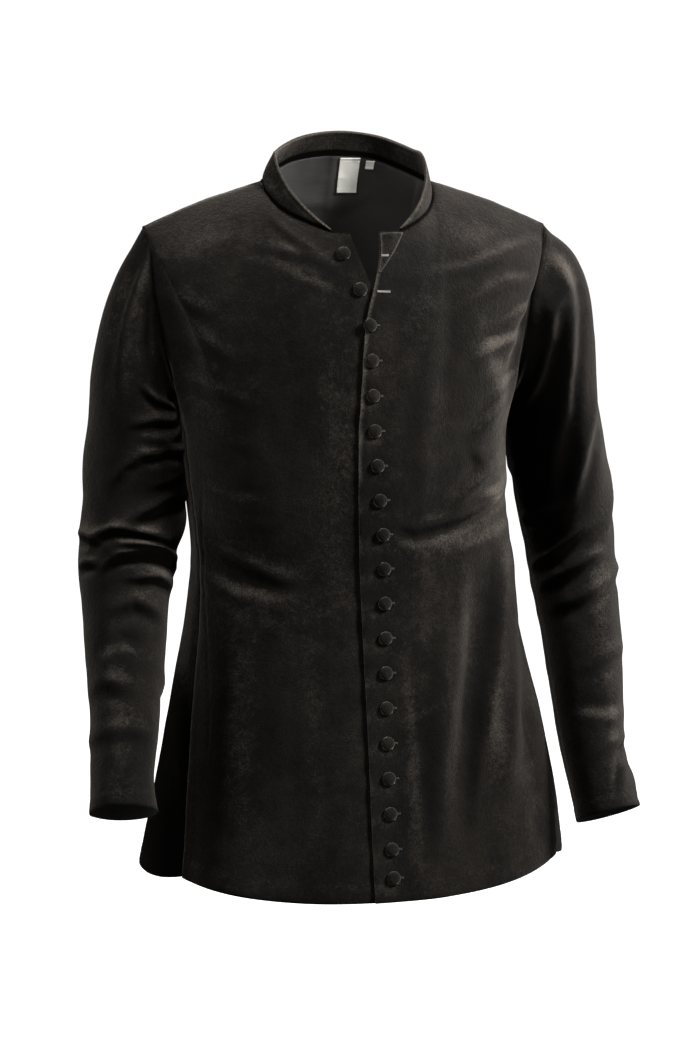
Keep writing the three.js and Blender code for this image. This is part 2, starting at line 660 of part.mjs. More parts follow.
function makeCollar() {
  const half = (side) => {
    const front = topEdge(side, true, 0).slice(1, NECK_COLUMNS + 1);
    const back = topEdge(side, false, 0).slice(0, NECK_COLUMNS).reverse();
    return [...front, ...back];
  };
  // From the wearer's left front end round the back to the right front end.
  const seam = [...half(LEFT), ...half(RIGHT).slice(0, -1).reverse()];
  const middle = (seam.length - 1) / 2;
  const outwardAt = (i) => {
    const before = seam[Math.max(i - 1, 0)];
    const after = seam[Math.min(i + 1, seam.length - 1)];
    const along = after.clone().sub(before).setZ(0).normalize();
    return v3(along.y, -along.x, 0);
  };
  const levels = [1, 0.5, 0]; // of its height, from the top edge down
  const outer = levels.map((level) =>
    seam.map((p, i) => {
      const place = middle - Math.abs(i - middle);
      const height = read(COLLAR, "at", "height", place) * level;
      const lean = read(COLLAR, "at", "lean", place) * level ** COLLAR_CURL;
      const moved = p.clone().addScaledVector(outwardAt(i), -lean);
      const lift = v3(COLLAR_SWAY * level * Math.min(1, place / 3), 0, SEAM_GAP + height);
      return moved.add(lift);
    }),
  );
  const inner = outer.map((line) =>
    line.map((p, i) => p.clone().addScaledVector(outwardAt(i), -COLLAR_CLOTH)),
  );
  return wall(outer, inner);
}

// ---------------------------------------------------------------- what lies on a panel

// The point of a grid's faces at a place seen from the front, with the outward direction there.
function pointOn(grid, x, z, { turned = false } = {}) {
  for (let j = 0; j < grid.length - 1; j += 1) {
    for (let i = 0; i < grid[0].length - 1; i += 1) {
      const near = grid[j][i];
      const far = grid[j + 1][i + 1];
      const halves = [
        [near, grid[j + 1][i], far],
        [near, far, grid[j][i + 1]],
      ];
      for (const [a, b, c] of halves) {
        const flat = [a, b, c].map((p) => v3(p.x, 0, p.z));
        const shares = new THREE.Triangle(...flat).getBarycoord(v3(x, 0, z), v3(0, 0, 0));
        if (!shares || Math.min(shares.x, shares.y, shares.z) < -1e-6) continue;
        const y = a.y * shares.x + b.y * shares.y + c.y * shares.z;
        const normal = b.clone().sub(a).cross(c.clone().sub(a)).normalize();
        return { point: v3(x, y, z), normal: turned ? normal.negate() : normal };
      }
    }
  }
  throw new Error(`no cloth at ${x}, ${z}`);
}

// The back neck lining: the back's own points moved inward, from just under the collar down. Its top
// edge stands off a little more, clear of the back's slanting rim.
function makeLining(backInner) {
  const middle = HALF_COLUMNS;
  const columns = NECK_COLUMNS + 1;
  const patch = backInner
    .slice(0, LINING_ROWS)
    .map((line) => line.slice(middle - columns, middle + columns + 1));
  const normals = gridNormals(patch, {});
  const lowered = patch.map((line, j) =>
    line.map((p, i) => (j === 0 ? p.clone().lerp(patch[1][i], LINING_SHORT) : p.clone())),
  );
  const outer = lowered.map((line, j) => {
    const gap = j === 0 ? LINING_TOP_GAP : LINING_GAP;
    return line.map((p, i) => p.clone().addScaledVector(normals[j][i], -gap));
  });
  const inner = movedAlong(outer, gridNormals(outer, {}), -LINING_CLOTH);
  return { inner, geometry: wall(outer, inner) };
}

// A flat tab that hangs inside the lining: its back follows the lining, moved toward the neck.
function makeTab(liningInner, { x, top, wide, tall }) {
  const back = [];
  for (let j = 0; j <= TAB_ROWS; j += 1) {
    back.push([]);
    for (let i = 0; i <= TAB_COLUMNS; i += 1) {
      const tabX = x + wide / 2 - (wide * i) / TAB_COLUMNS;
      const place = pointOn(liningInner, tabX, top - (tall * j) / TAB_ROWS);
      back[j].push(place.point.addScaledVector(v3(0, -1, 0), LABEL_GAP));
    }
  }
  const front = back.map((line) => line.map((p) => p.clone().setY(p.y - LABEL_CLOTH)));
  return wall(back, front);
}

// The over front's top corner, folded outward along its edge: a triangle of cloth lying on it.
function makeCorner(frontOuter) {
  const foot = [];
  for (let j = 0; j <= CORNER_ROWS; j += 1) {
    const fall = j / CORNER_ROWS;
    const z = TOP_EDGE_Z - CORNER_DROP - CORNER_TALL * fall;
    const wide = THREE.MathUtils.lerp(CORNER_WIDE, CORNER_POINT, fall);
    const edge = read(EDGES, "z", "over", z) + CORNER_INSET;
    foot.push([]);
    for (let i = 0; i <= CORNER_COLUMNS; i += 1) {
      const share = i / CORNER_COLUMNS;
      const { point, normal } = pointOn(frontOuter, edge + wide * share, z);
      const puff = CORNER_PUFF * Math.sin(Math.PI * share) * (1 - fall);
      foot[j].push(point.addScaledVector(normal, CORNER_GAP + puff));
    }
  }
  const face = foot.map((line) => line.map((p) => p.clone().setY(p.y - CLOTH)));
  return wall(face, foot);
}

// A half-ball button, covered with velvet: a flat back, a rounded rim and a low dome.
function buttonProfile() {
  const profile = [new THREE.Vector2(0, 0), new THREE.Vector2(BUTTON_FOOT_RADIUS, 0)];
  for (let k = 0; k <= BUTTON_STEPS; k += 1) {
    const turn = (Math.PI / 2) * (k / BUTTON_STEPS);
    const x = k === BUTTON_STEPS ? 0 : BUTTON_RADIUS * Math.cos(turn);
    const y = THREE.MathUtils.lerp(BUTTON_RIM, BUTTON_HEIGHT, Math.sin(turn));
    profile.push(new THREE.Vector2(x, y));
  }
  return profile;
}

function placeButton(mesh, index) {
  const closer = index === BUTTON_COUNT - 1 ? BUTTON_PITCH - BUTTON_LAST_PITCH : 0;
  const z = BUTTON_TOP_Z - BUTTON_PITCH * index + closer;
  const undone = index < UNDONE_BUTTONS;
  const grid = undone ? frontRight.outer : frontLeft.outer;
  const { point, normal } = pointOn(grid, read(EDGES, "z", "buttons", z), z, { turned: undone });
  mesh.position.copy(point.addScaledVector(normal, BUTTON_SEAT));
  mesh.quaternion.setFromUnitVectors(v3(0, 1, 0), normal);
}

// ---------------------------------------------------------------- the group

const velvet = () => new THREE.MeshStandardMaterial({ color: 0x16120f, roughness: 0.95, metalness: 0 });

const group = new THREE.Group();

function add(name, geometry, material) {
  const mesh = new THREE.Mesh(geometry, material);
  mesh.name = name;
  group.add(mesh);
  return mesh;
}

const frontLeft = makeFront(LEFT);
const frontRight = makeFront(RIGHT);
const back = makeBack();
const sleeveLeft = makeSleeve(LEFT, SLEEVE_LEFT, CAP_REACH_LEFT);
const sleeveRight = makeSleeve(RIGHT, SLEEVE_RIGHT, CAP_REACH_RIGHT);

add("front_left", frontLeft.geometry, velvet());
add("front_right", frontRight.geometry, velvet());
add("back", back.geometry, velvet());
add("sleeve_left", sleeveLeft.geometry, velvet());
add("sleeve_right", sleeveRight.geometry, velvet());
add("collar", makeCollar(), velvet());
add("front_left_corner", makeCorner(frontLeft.outer), velvet());

const lining = makeLining(back.inner);
add("back_lining", lining.geometry, new THREE.MeshStandardMaterial({ color: 0x3a383a, roughness: 0.8 }));
const woven = () => new THREE.MeshStandardMaterial({ color: 0xf0e8d8, roughness: 0.7 });
add("label", makeTab(lining.inner, MAIN_LABEL), woven());
add("size_tab", makeTab(lining.inner, SIZE_TAB), woven());

for (let index = 0; index < BUTTON_COUNT; index += 1) {
  const name = `button_${String(index + 1).padStart(2, "0")}`;
  const button = add(name, new THREE.LatheGeometry(buttonProfile(), BUTTON_SIDES), velvet());
  placeButton(button, index);
}

export default group;
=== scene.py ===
# %% [markdown]
# # A velvet cotehardie, filled out with nobody in it
# A cotehardie is a fitted jacket with a flared skirt, a low stand collar and a close row of covered
# buttons. The solids already give its form. Here every panel becomes a thin shell of cloth that
# follows its solid, gets its creases, seams and edges, and is dressed in velvet, lining or woven tape.
# Places are in metres. Distances along the cloth, and how far it is lifted, are in millimetres. The
# front faces -Y, the wearer's left is +X, and Z is zero at the neck.

import json
import math

import bmesh
import bpy
import numpy as np
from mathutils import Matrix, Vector, noise
from mathutils.bvhtree import BVHTree
from mathutils.kdtree import KDTree

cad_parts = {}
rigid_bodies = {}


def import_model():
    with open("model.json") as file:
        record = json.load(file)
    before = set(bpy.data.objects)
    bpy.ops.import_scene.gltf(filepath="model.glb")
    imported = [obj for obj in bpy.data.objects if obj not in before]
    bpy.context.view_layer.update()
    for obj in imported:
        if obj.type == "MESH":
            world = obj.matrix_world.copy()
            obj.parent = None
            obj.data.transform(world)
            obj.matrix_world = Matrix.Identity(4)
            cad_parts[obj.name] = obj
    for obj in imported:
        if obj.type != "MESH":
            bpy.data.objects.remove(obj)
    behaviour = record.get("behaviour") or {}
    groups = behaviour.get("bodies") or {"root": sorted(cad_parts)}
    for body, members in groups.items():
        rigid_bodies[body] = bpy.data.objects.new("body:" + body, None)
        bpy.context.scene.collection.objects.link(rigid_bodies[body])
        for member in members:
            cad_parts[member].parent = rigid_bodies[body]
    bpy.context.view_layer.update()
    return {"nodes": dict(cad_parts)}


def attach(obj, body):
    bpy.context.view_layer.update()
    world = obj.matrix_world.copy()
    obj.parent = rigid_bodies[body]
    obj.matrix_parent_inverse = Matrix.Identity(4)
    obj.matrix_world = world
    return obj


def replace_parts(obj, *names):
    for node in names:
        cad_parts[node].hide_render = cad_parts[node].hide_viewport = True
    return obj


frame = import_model()
MM = 0.001
SAME_PLACE = 1e-6  # points closer than this are one
print("nodes:", len(frame["nodes"]))

# %% [markdown]
# ## Camera
# The jacket is seen from a little to its right and a little above, with a long lens. The camera aims
# at the middle of the body, and its height is set by the elevation.


# %% Putting things in the scene
def placed(name, data, place=None, facing=None):
    """A new object in the scene. A camera or a light also gets its place and where it faces."""
    item = bpy.data.objects.new(name, data)
    bpy.context.scene.collection.objects.link(item)
    if facing:
        item.location = place
        item.rotation_mode = "QUATERNION"
        item.rotation_quaternion = facing.to_track_quat("-Z", "Y")
    return item


# %% The camera
AZIMUTH, ELEVATION = math.radians(-14), math.radians(8)
DISTANCE = 3.2
TARGET = Vector((0.0, 0.0, -0.393))
PIXEL = 0.001155  # what one pixel of the 700 x 1050 frame covers at the target
FRAME_HEIGHT = 1050
SENSOR = 36.0
OFF_RIGHT, OFF_UP = 1.0, 2.7  # the frame's middle, in pixels from the target

level = math.cos(ELEVATION)
back_way = Vector((math.sin(AZIMUTH) * level, -math.cos(AZIMUTH) * level, math.sin(ELEVATION)))
right_way = Vector((math.cos(AZIMUTH), math.sin(AZIMUTH), 0))
up_way = back_way.cross(right_way)
optics = bpy.data.cameras.new("camera")
optics.sensor_fit = "VERTICAL"
optics.sensor_height = optics.sensor_width = SENSOR
optics.lens = SENSOR * DISTANCE / (PIXEL * FRAME_HEIGHT)
place = TARGET + back_way * DISTANCE + (right_way * OFF_RIGHT + up_way * OFF_UP) * PIXEL
bpy.context.scene.camera = placed("camera", optics, place, -back_way)
print("lens:", round(optics.lens, 1), "mm")

# %% [markdown]
# ## Reading a panel's rows and columns
# Each panel's solid is a closed wall: an outer face, an inner face and narrow rims. On the rims every
# second edge is exactly as long as the cloth is thick, so those edges find the rims. Without them the
# wall falls into two sheets, and one of them is kept. Its triangles came from a grid, so the grid can
# be read back row by row: across each edge of a row lies the next row. Having rows and columns again
# makes everything later easy, because a place on the cloth is just a row and a column.


# %% Sheets of a wall
def node_mesh(node):
    """A node's solid, its triangles joined at their corners."""
    bm = bmesh.new()
    bm.from_mesh(frame["nodes"][node].data)
    bmesh.ops.remove_doubles(bm, verts=bm.verts, dist=SAME_PLACE)
    return bm


def wall_sheet(node, thickness, best):
    """Points and triangles of the one of a wall's two faces for which best gives the most."""
    bm = node_mesh(node)
    through = [e for e in bm.edges if abs(e.calc_length() - thickness) < 5 * SAME_PLACE]
    rims = list({f for e in through for f in e.link_faces})
    bmesh.ops.delete(bm, geom=rims, context="FACES")
    sheets, left = [], set(bm.faces)
    while left:
        sheet, queue = set(), [left.pop()]
        while queue:
            face = queue.pop()
            sheet.add(face)
            found = {other for edge in face.edges for other in edge.link_faces} & left
            left -= found
            queue += found
        sheets.append(sheet)
    sheet = max(sheets, key=best)
    points = {v.index: v.co.copy() for f in sheet for v in f.verts}
    faces = [tuple(v.index for v in f.verts) for f in sheet]
    bm.free()
    return points, faces


def widest(sheet):
    return sum(f.calc_area() for f in sheet)


def foremost(sheet):
    return -sum(f.calc_center_median().y for f in sheet) / len(sheet)


# %% Rows and columns of a sheet
def walk(points, faces, columns, start, tube=False):
    """The sheet's points as an array of rows and columns. A panel is walked upward from the lowest
    border row, a tube downward from its top ring."""
    sides = {}
    for k, (a, b, c) in enumerate(faces):
        for pair in ((a, b), (b, c), (c, a)):
            sides.setdefault(frozenset(pair), set()).add(k)
    border = {}
    for pair, near in sides.items():
        if len(near) == 1:
            a, b = pair
            border.setdefault(a, []).append(b)
            border.setdefault(b, []).append(a)
    first = min(border, key=lambda v: start(points[v]))
    loops = []
    for second in border[first]:
        loop = [first, second]
        while True:
            ahead = [v for v in border[loop[-1]] if v != loop[-2]][0]
            if ahead == first:
                break
            loop.append(ahead)
        loops.append(loop)
    used = set()

    def across(a, b):
        """The point on the far side of an edge, through a face that isn't used yet."""
        face = next(k for k in sides[frozenset((a, b))] if k not in used)
        used.add(face)
        return next(v for v in faces[face] if v not in (a, b))

    if tube:
        rows = [min(loops, key=lambda loop: points[loop[1]].y)]
        while True:
            row = rows[-1]
            try:
                found = [across(row[i], row[(i + 1) % len(row)]) for i in range(len(row))]
            except StopIteration:
                break
            for i in range(len(row)):
                across(row[i], found[i])
            rows.append([found[-1], *found[:-1]])
    else:
        loop = min(loops, key=lambda way: points[way[columns - 1]].z)
        rows = [loop[:columns]]
        for j in range(1, len(loop) // 2 - columns + 2):
            row = [loop[-j]]
            for a, b in zip(rows[-1], rows[-1][1:]):
                corner = across(a, b)
                if corner == row[-1]:
                    corner = across(b, row[-1])
                else:
                    across(a, corner)
                row.append(corner)
            rows.append(row)
        rows.reverse()
    return np.array([[points[v] for v in row] for row in rows], float)


# %% The panels as grids
CLOTH = 2.2 * MM  # velvet and lining together
COLLAR_CLOTH = 2.8 * MM
BODY_PANELS = ("front_left", "front_right", "back")
# columns, and where the walk starts: at the border point for which this is least
WALKS = {
    "front_left": (17, lambda p: p.z),
    "front_right": (17, lambda p: p.z),
    "back": (33, lambda p: p.y + (p.x < 0)),
    "sleeve_left": (14, lambda p: -p.z),
    "sleeve_right": (14, lambda p: -p.z),
    "collar": (19, lambda p: p.z + (p.x < 0)),
}
grids = {}
for name, (columns, start) in WALKS.items():
    thickness = COLLAR_CLOTH if name == "collar" else CLOTH
    grids[name] = walk(*wall_sheet(name, thickness, widest), columns, start, "sleeve" in name)
    print(name, "rows and columns:", grids[name].shape[:2])

# %% [markdown]
# ## Raising the back of the neck
# An empty jacket hangs from its neck, so the back of the neck is pulled up a little, most at its
# middle. Two shapes are used for this and for nearly everything later: a step that eases from 0 to 1,
# and a bell.

# %% The raised neck
NECK_RISE = 7.5 * MM


def ease(x, low, high):
    t = np.clip((x - low) / (high - low), 0, 1)
    return t * t * (3 - 2 * t)


def bell(x, wide):
    """1 where x is 0, falling to 0 on both sides of it."""
    return np.exp(-((x / wide) ** 2))


def neck_raised(points):
    x, y, z = (points[..., k] / MM for k in range(3))
    share = np.exp(-((x / 72) ** 4)) * ease(y, 38, 62) * ease(z, -110, -30)
    raised = points.copy()
    raised[..., 2] += NECK_RISE * share * (1 - 0.7 * ease(z, 31, 57))
    return raised


for name in ("back", "collar"):
    grids[name] = neck_raised(grids[name])
    print(name, "top now at", round(grids[name][..., 2].max() / MM, 1), "mm")

# %% [markdown]
# ## Smooth cloth between the rows and columns
# The solids are faceted. A smooth curve through the same points, along the rows and then along the
# columns, gives cells of about four millimetres, small enough for creases. At the neck point and the
# shoulder tip the top edge turns a sharp corner, so there the curve is broken, and the break fades out
# a few rows further down. Beside each neck point the back's corner is so sharp that it would fold the
# cloth, so that place is evened out.


# %% Smooth interpolation
def spline(values, places, breaks=(), closed=False):
    count = len(values)
    last = count if closed else count - 1
    k = np.clip(np.floor(places).astype(int), 0, last - 1)
    t = (places - k).reshape((-1,) + (1,) * (values.ndim - 1))

    def at(i):
        return values[i % count] if closed else values[np.clip(i, 0, count - 1)]

    def slope(i, way):
        middle = (at(i + 1) - at(i - 1)) / 2
        ended = way * (-3 * at(i) + 4 * at(i + way) - at(i + 2 * way)) / 2
        sharp = np.isin(i % count if closed else i, list(breaks))
        if not closed:
            sharp |= (i == 0) | (i == count - 1)
        return np.where(sharp.reshape(t.shape), ended, middle)

    start, end = at(k), at(k + 1)
    t2, t3 = t * t, t * t * t
    return (
        (2 * t3 - 3 * t2 + 1) * start
        + (t3 - 2 * t2 + t) * slope(k, 1)
        + (3 * t2 - 2 * t3) * end
        + (t3 - t2) * slope(k + 1, -1)
    )


def finer(grid, rows_each, columns_each, breaks=(), closed=False):
    """The grid with more rows and columns. On a tube the last column repeats the first."""
    rows, columns = grid.shape[:2]
    spans = columns if closed else columns - 1
    across = np.linspace(0, spans, spans * columns_each + 1)
    turned = grid.swapaxes(0, 1)
    smooth = spline(turned, across, closed=closed).swapaxes(0, 1)
    broken = spline(turned, across, breaks, closed).swapaxes(0, 1)
    share = np.clip(1 - np.arange(rows) / 1.5, 0, 1).reshape(-1, 1, 1)
    mixed = broken * share + smooth * (1 - share)
    return spline(mixed, np.linspace(0, rows - 1, (rows - 1) * rows_each + 1))


# %% Softer facets
def wrapped(grid):
    """A tube's grid with one more column at each side, taken from the way round."""
    return np.concatenate([grid[:, -2:-1], grid, grid[:, 1:2]], axis=1)


def neighbours(grid):
    """For each inner point, the middle of the four round it."""
    return (grid[1:-1, :-2] + grid[1:-1, 2:] + grid[:-2, 1:-1] + grid[2:, 1:-1]) / 4


def relaxed(grid, times, closed=False):
    """Averages each inner point with its neighbours, to soften what is left of the facets."""
    for _ in range(times):
        grid = wrapped(grid) if closed else grid.copy()
        grid[1:-1, 1:-1] = (grid[1:-1, 1:-1] + neighbours(grid)) / 2
        grid = grid[:, 1:-1] if closed else grid
    return grid


def evened(grid, place, reach, times):
    """Evens out the cloth round a place where a sharp corner of its edge would fold it."""
    share = bell(np.linalg.norm(grid - place, axis=2, keepdims=True), reach)[1:-1, 1:-1]
    grid = grid.copy()
    for _ in range(times):
        grid[1:-1, 1:-1] += share * (neighbours(grid) - grid[1:-1, 1:-1])
    return grid


# %% The panels, finer
# finer rows and columns, the columns where the top edge turns a corner, and times relaxed
FINER = {
    "front_left": (8, 5, (5, 9), 24),
    "front_right": (8, 5, (5, 9), 24),
    "back": (8, 5, (7, 11, 21, 25), 24),
    "sleeve_left": (7, 6, (0, 7), 24),
    "sleeve_right": (7, 6, (0, 7), 24),
    "collar": (8, 6, (), 6),
}
NECK_POINTS = ((98, 38, -4), (-98, 38, -4))
EVEN_REACH, EVEN_TIMES = 34, 160
fine = {}
for name, (rows_each, columns_each, breaks, times) in FINER.items():
    tube = "sleeve" in name
    fine[name] = relaxed(finer(grids[name], rows_each, columns_each, breaks, tube), times, tube)
    print(name, "points:", fine[name].shape[0] * fine[name].shape[1])
for point in NECK_POINTS:
    fine["back"] = evened(fine["back"], np.array(point) * MM, EVEN_REACH * MM, EVEN_TIMES)

# %% [markdown]
# ## Outward directions and distances on the cloth
# Creases are moved along the cloth's own outward direction, and seams need to know how far a point is
# from an edge. Both come from the grid: the direction from a point's neighbours, the distance from a
# search tree of points along the edge.

# %% Outward directions
BODY_MIDDLE_Y = 0.02


def unit(ways, least=1e-12):
    return ways / np.maximum(np.linalg.norm(ways, axis=-1, keepdims=True), least)


def outward(grid, closed=False):
    across = np.gradient(wrapped(grid), axis=1)[:, 1:-1] if closed else np.gradient(grid, axis=1)
    normal = unit(np.cross(np.gradient(grid, axis=0), across))
    inside = np.array((0.0, BODY_MIDDLE_Y, grid[..., 2].mean()))
    if closed:
        inside = grid.mean(axis=1, keepdims=True)
    return normal * np.sign((normal * (grid - inside)).sum())


def lifted(grid, lift, closed=False):
    return grid + outward(grid, closed) * lift[..., None] * MM


# %% Distances from an edge
REACH = 60  # distances over the cloth aren't followed further than this


def search_tree(points):
    tree = KDTree(len(points))
    for k, point in enumerate(points):
        tree.insert(point, k)
    tree.balance()
    return tree


def within(flat, line, reach):
    """The numbers of the points that can be as near as reach to a line."""
    low, high = line.min(axis=0) - reach, line.max(axis=0) + reach
    return np.nonzero(np.all((flat > low) & (flat < high), axis=1))[0]


def dense(line, each=6):
    """A line of points with more points between them."""
    places = np.linspace(0, len(line) - 1, (len(line) - 1) * each + 1)
    k = np.clip(places.astype(int), 0, len(line) - 2)
    t = (places - k)[:, None]
    return line[k] * (1 - t) + line[k + 1] * t


def distance_to(grid, line, each=6):
    """How far each point of the grid is from a line, in millimetres, and at most REACH."""
    line = dense(line, each)
    tree = search_tree(line)
    flat = grid.reshape(-1, 3)
    found = np.full(len(flat), float(REACH))
    for k in within(flat, line, REACH * MM):
        found[k] = min(REACH, tree.find(flat[k])[2] / MM)
    return found.reshape(grid.shape[:2])


# %% Distances along the cloth
def along(grid, axis):
    """The distance travelled along the rows or the columns, in metres."""
    steps = np.linalg.norm(np.diff(grid, axis=axis), axis=2)
    pad = [(0, 0), (0, 0)]
    pad[axis] = (1, 0)
    return np.pad(np.cumsum(steps, axis=axis), pad)


# %% [markdown]
# ## Creases
# A crease is a soft ridge or trough along a short curved line. It is given by its half width and its
# height and by the points of that line, in millimetres on the cloth itself. Across the line it is a
# bell, with a shallow hollow on one side, as real drag lines have. Along the line it swells and dies
# away. On the body the places are x and z. On a sleeve they are the way round from the outside of the
# arm through its front, in degrees, and z.

# %% The shape of a crease
SLEEVE_MM_PER_DEGREE = 0.92
HOLLOW = 0.6  # how deep the hollow beside a crease is, as a share of its height


def shorter_way(u, girth):
    """The shorter way round a tube; a panel has no girth."""
    return (u + girth / 2) % girth - girth / 2 if girth else u


def crease(first, second, line, wide, high, girth):
    """How far one crease lifts the cloth, whose points have the places first and second."""
    lengths = np.hypot(*np.diff(line, axis=0).T)
    best = np.full((4, *first.shape), 1e9)
    before = 0.0
    for k, (a, b, length) in enumerate(zip(line, line[1:], lengths)):
        way = (b - a) / length
        u, v = shorter_way(first - a[0], girth), second - a[1]
        run, off = u * way[0] + v * way[1], u * way[1] - v * way[0]
        t = np.clip(run, 0, length)
        gap = np.hypot(off, run - t)
        past = np.maximum(-run, 0) if k == 0 else np.zeros(run.shape)
        if k == len(lengths) - 1:
            past = np.maximum(past, run - length)
        signed = np.where(past > 0, off, np.sign(off) * gap)
        best = np.where(gap < best[0], [gap, past, signed, before + t], best)
        before += length
    nearest, beyond, signed, travelled = best
    swell = np.sin(np.pi * np.clip(travelled / before * 0.92 + 0.04, 0, 1)) ** 0.7
    ridge = np.exp(-((nearest / wide) ** 1.6))
    dip = bell(signed - 1.5 * wide, 0.9 * wide) * bell(beyond, wide)
    return high * swell * (ridge - HOLLOW * dip)


# %% Many creases together, and unevenness
def creased(table, first, second, scale=1.0, girth=0.0):
    """All the creases of a table together."""
    total = np.zeros(first.shape)
    for wide, high, *line in table:
        places = np.reshape(line, (-1, 2)) * (SLEEVE_MM_PER_DEGREE if girth else 1.0, 1.0)
        total += crease(first, second, places, wide, high * scale, girth)
    return total


def ripple(grid, size, seed):
    """Smooth unevenness between -1 and 1, with waves of about the given size in millimetres."""
    shift = Vector((seed * 7.31, seed * 3.17, seed * 5.93))
    flat = [noise.noise(Vector(p) / (size * MM) + shift) for p in grid.reshape(-1, 3)]
    return np.array(flat).reshape(grid.shape[:2])


# %% [markdown]
# ## Where the creases lie
# The fitted body drags a little from the neck and armholes and across the waist, and the flared skirt
# hangs in long soft folds. The set-in sleeves drag from the shoulder tip and crumple inside the elbow.
# The back has similar ones of its own. No two are alike in length, height or spacing.

# %% Creases of the fronts
# half width, height, then x and z of each point of the line
FRONT_LEFT_CREASES = [
    (7, 2.3, 231, -62, 183, -73, 125, -91, 84, -98),
    (8, 2.0, 201, -107, 166, -109, 114, -133),
    (6, 1.2, 222, -132, 188, -142, 150, -160),
    (8, 2.4, 200, -170, 141, -183, 118, -204),
    (7, 1.6, 196, -214, 170, -222, 138, -246),
    (9, 2.4, 172, -234, 143, -262, 117, -283),
    (9, 0.9, 120, -290, 136, -312),
    (9, 1.9, 146, -316, 120, -338, 98, -358),
    (9, -2.4, 186, -352, 150, -366, 103, -382, 48, -392, 20, -382),
    (9, 1.4, 190, -384, 146, -400, 104, -411),
    (6, 1.5, 178, -330, 160, -346, 128, -352),
    (15, 4.2, 165, -420, 158, -480, 143, -560, 120, -650, 112, -700),
    (12, -2.4, 124, -430, 116, -520, 96, -640),
    (12, -2.6, 196, -470, 192, -560, 178, -680),
    (14, 2.0, 84, -470, 74, -600, 66, -740),
    (5, 1.3, 67, -578, 54, -588, 43, -598),
    (12, 2.2, 206, -560, 212, -660, 214, -760),
    (12, -1.2, 40, -500, 44, -620, 48, -770),
    (14, 1.2, 60, -232, 52, -300, 58, -372),
    (16, -1.4, 96, -150, 84, -214, 92, -268),
]
FRONT_RIGHT_CREASES = [
    (6, 2.2, -127, -64, -99, -69, -72, -75, -42, -86),
    (6, 1.6, -106, -29, -79, -57, -50, -78),
    (6, -1.2, -96, -84, -66, -98, -34, -108),
    (7, 1.8, -217, -117, -195, -129, -168, -143),
    (7, 1.4, -206, -160, -180, -170, -150, -192),
    (8, 1.9, -198, -212, -172, -224, -136, -236),
    (8, 1.5, -190, -262, -160, -280, -132, -286),
    (8, -1.5, -184, -318, -158, -334, -118, -338),
    (9, 2.8, -188, -392, -150, -412, -106, -431, -74, -436),
    (9, -2.2, -186, -422, -146, -440, -104, -448),
    (8, 1.6, -184, -362, -150, -374, -110, -372),
    (15, 1.5, -160, -450, -166, -540, -176, -660, -182, -740),
    (15, -1.2, -132, -470, -138, -580, -150, -720),
    (15, 1.2, -98, -480, -104, -600, -116, -760),
    (13, -1.6, -60, -470, -64, -600, -66, -740),
    (11, -2.2, -206, -580, -214, -680, -220, -770),
    (16, 1.4, -70, -150, -62, -230, -66, -320),
    (15, -1.3, -116, -180, -122, -240, -112, -310),
]
print("creases of the fronts:", len(FRONT_LEFT_CREASES) + len(FRONT_RIGHT_CREASES))

# %% Creases of the back
BACK_CREASES = [
    (8, -1.6, -60, -6, -30, -22, 12, -26, 52, -10),
    (9, 1.8, -150, -40, -110, -66, -60, -80),
    (9, 1.6, 150, -46, 104, -70, 66, -92),
    (9, 2.4, 206, -110, 160, -140, 122, -188),
    (9, 2.2, -208, -104, -170, -146, -130, -182),
    (8, 1.8, 200, -170, 168, -204, 140, -240),
    (8, 2.0, -198, -176, -170, -214, -132, -232),
    (9, 2.4, -176, -330, -124, -348, -66, -351),
    (10, -2.2, 180, -344, 124, -372, 62, -381),
    (10, 2.4, -152, -366, -90, -393, -14, -388, 46, -401),
    (8, 1.6, 22, -346, 84, -362, 150, -354),
    (9, -1.8, -176, -414, -122, -429, -82, -447),
    (9, 1.9, 176, -400, 130, -424, 58, -436),
    (17, 3.4, -58, -452, -72, -560, -92, -760),
    (15, 2.8, 62, -506, 70, -610, 93, -770),
    (16, -2.4, 4, -474, 15, -620, 9, -780),
    (14, -2.2, 126, -446, 147, -600, 162, -760),
    (13, -2.2, -120, -545, -139, -640, -154, -770),
    (13, 1.8, 180, -500, 201, -640, 215, -750),
    (13, 2.0, -184, -462, -195, -600, -206, -740),
    (16, 1.2, -44, -120, -40, -200, -52, -290),
    (16, -1.2, 52, -110, 44, -190, 50, -280),
]
print("creases of the back:", len(BACK_CREASES))

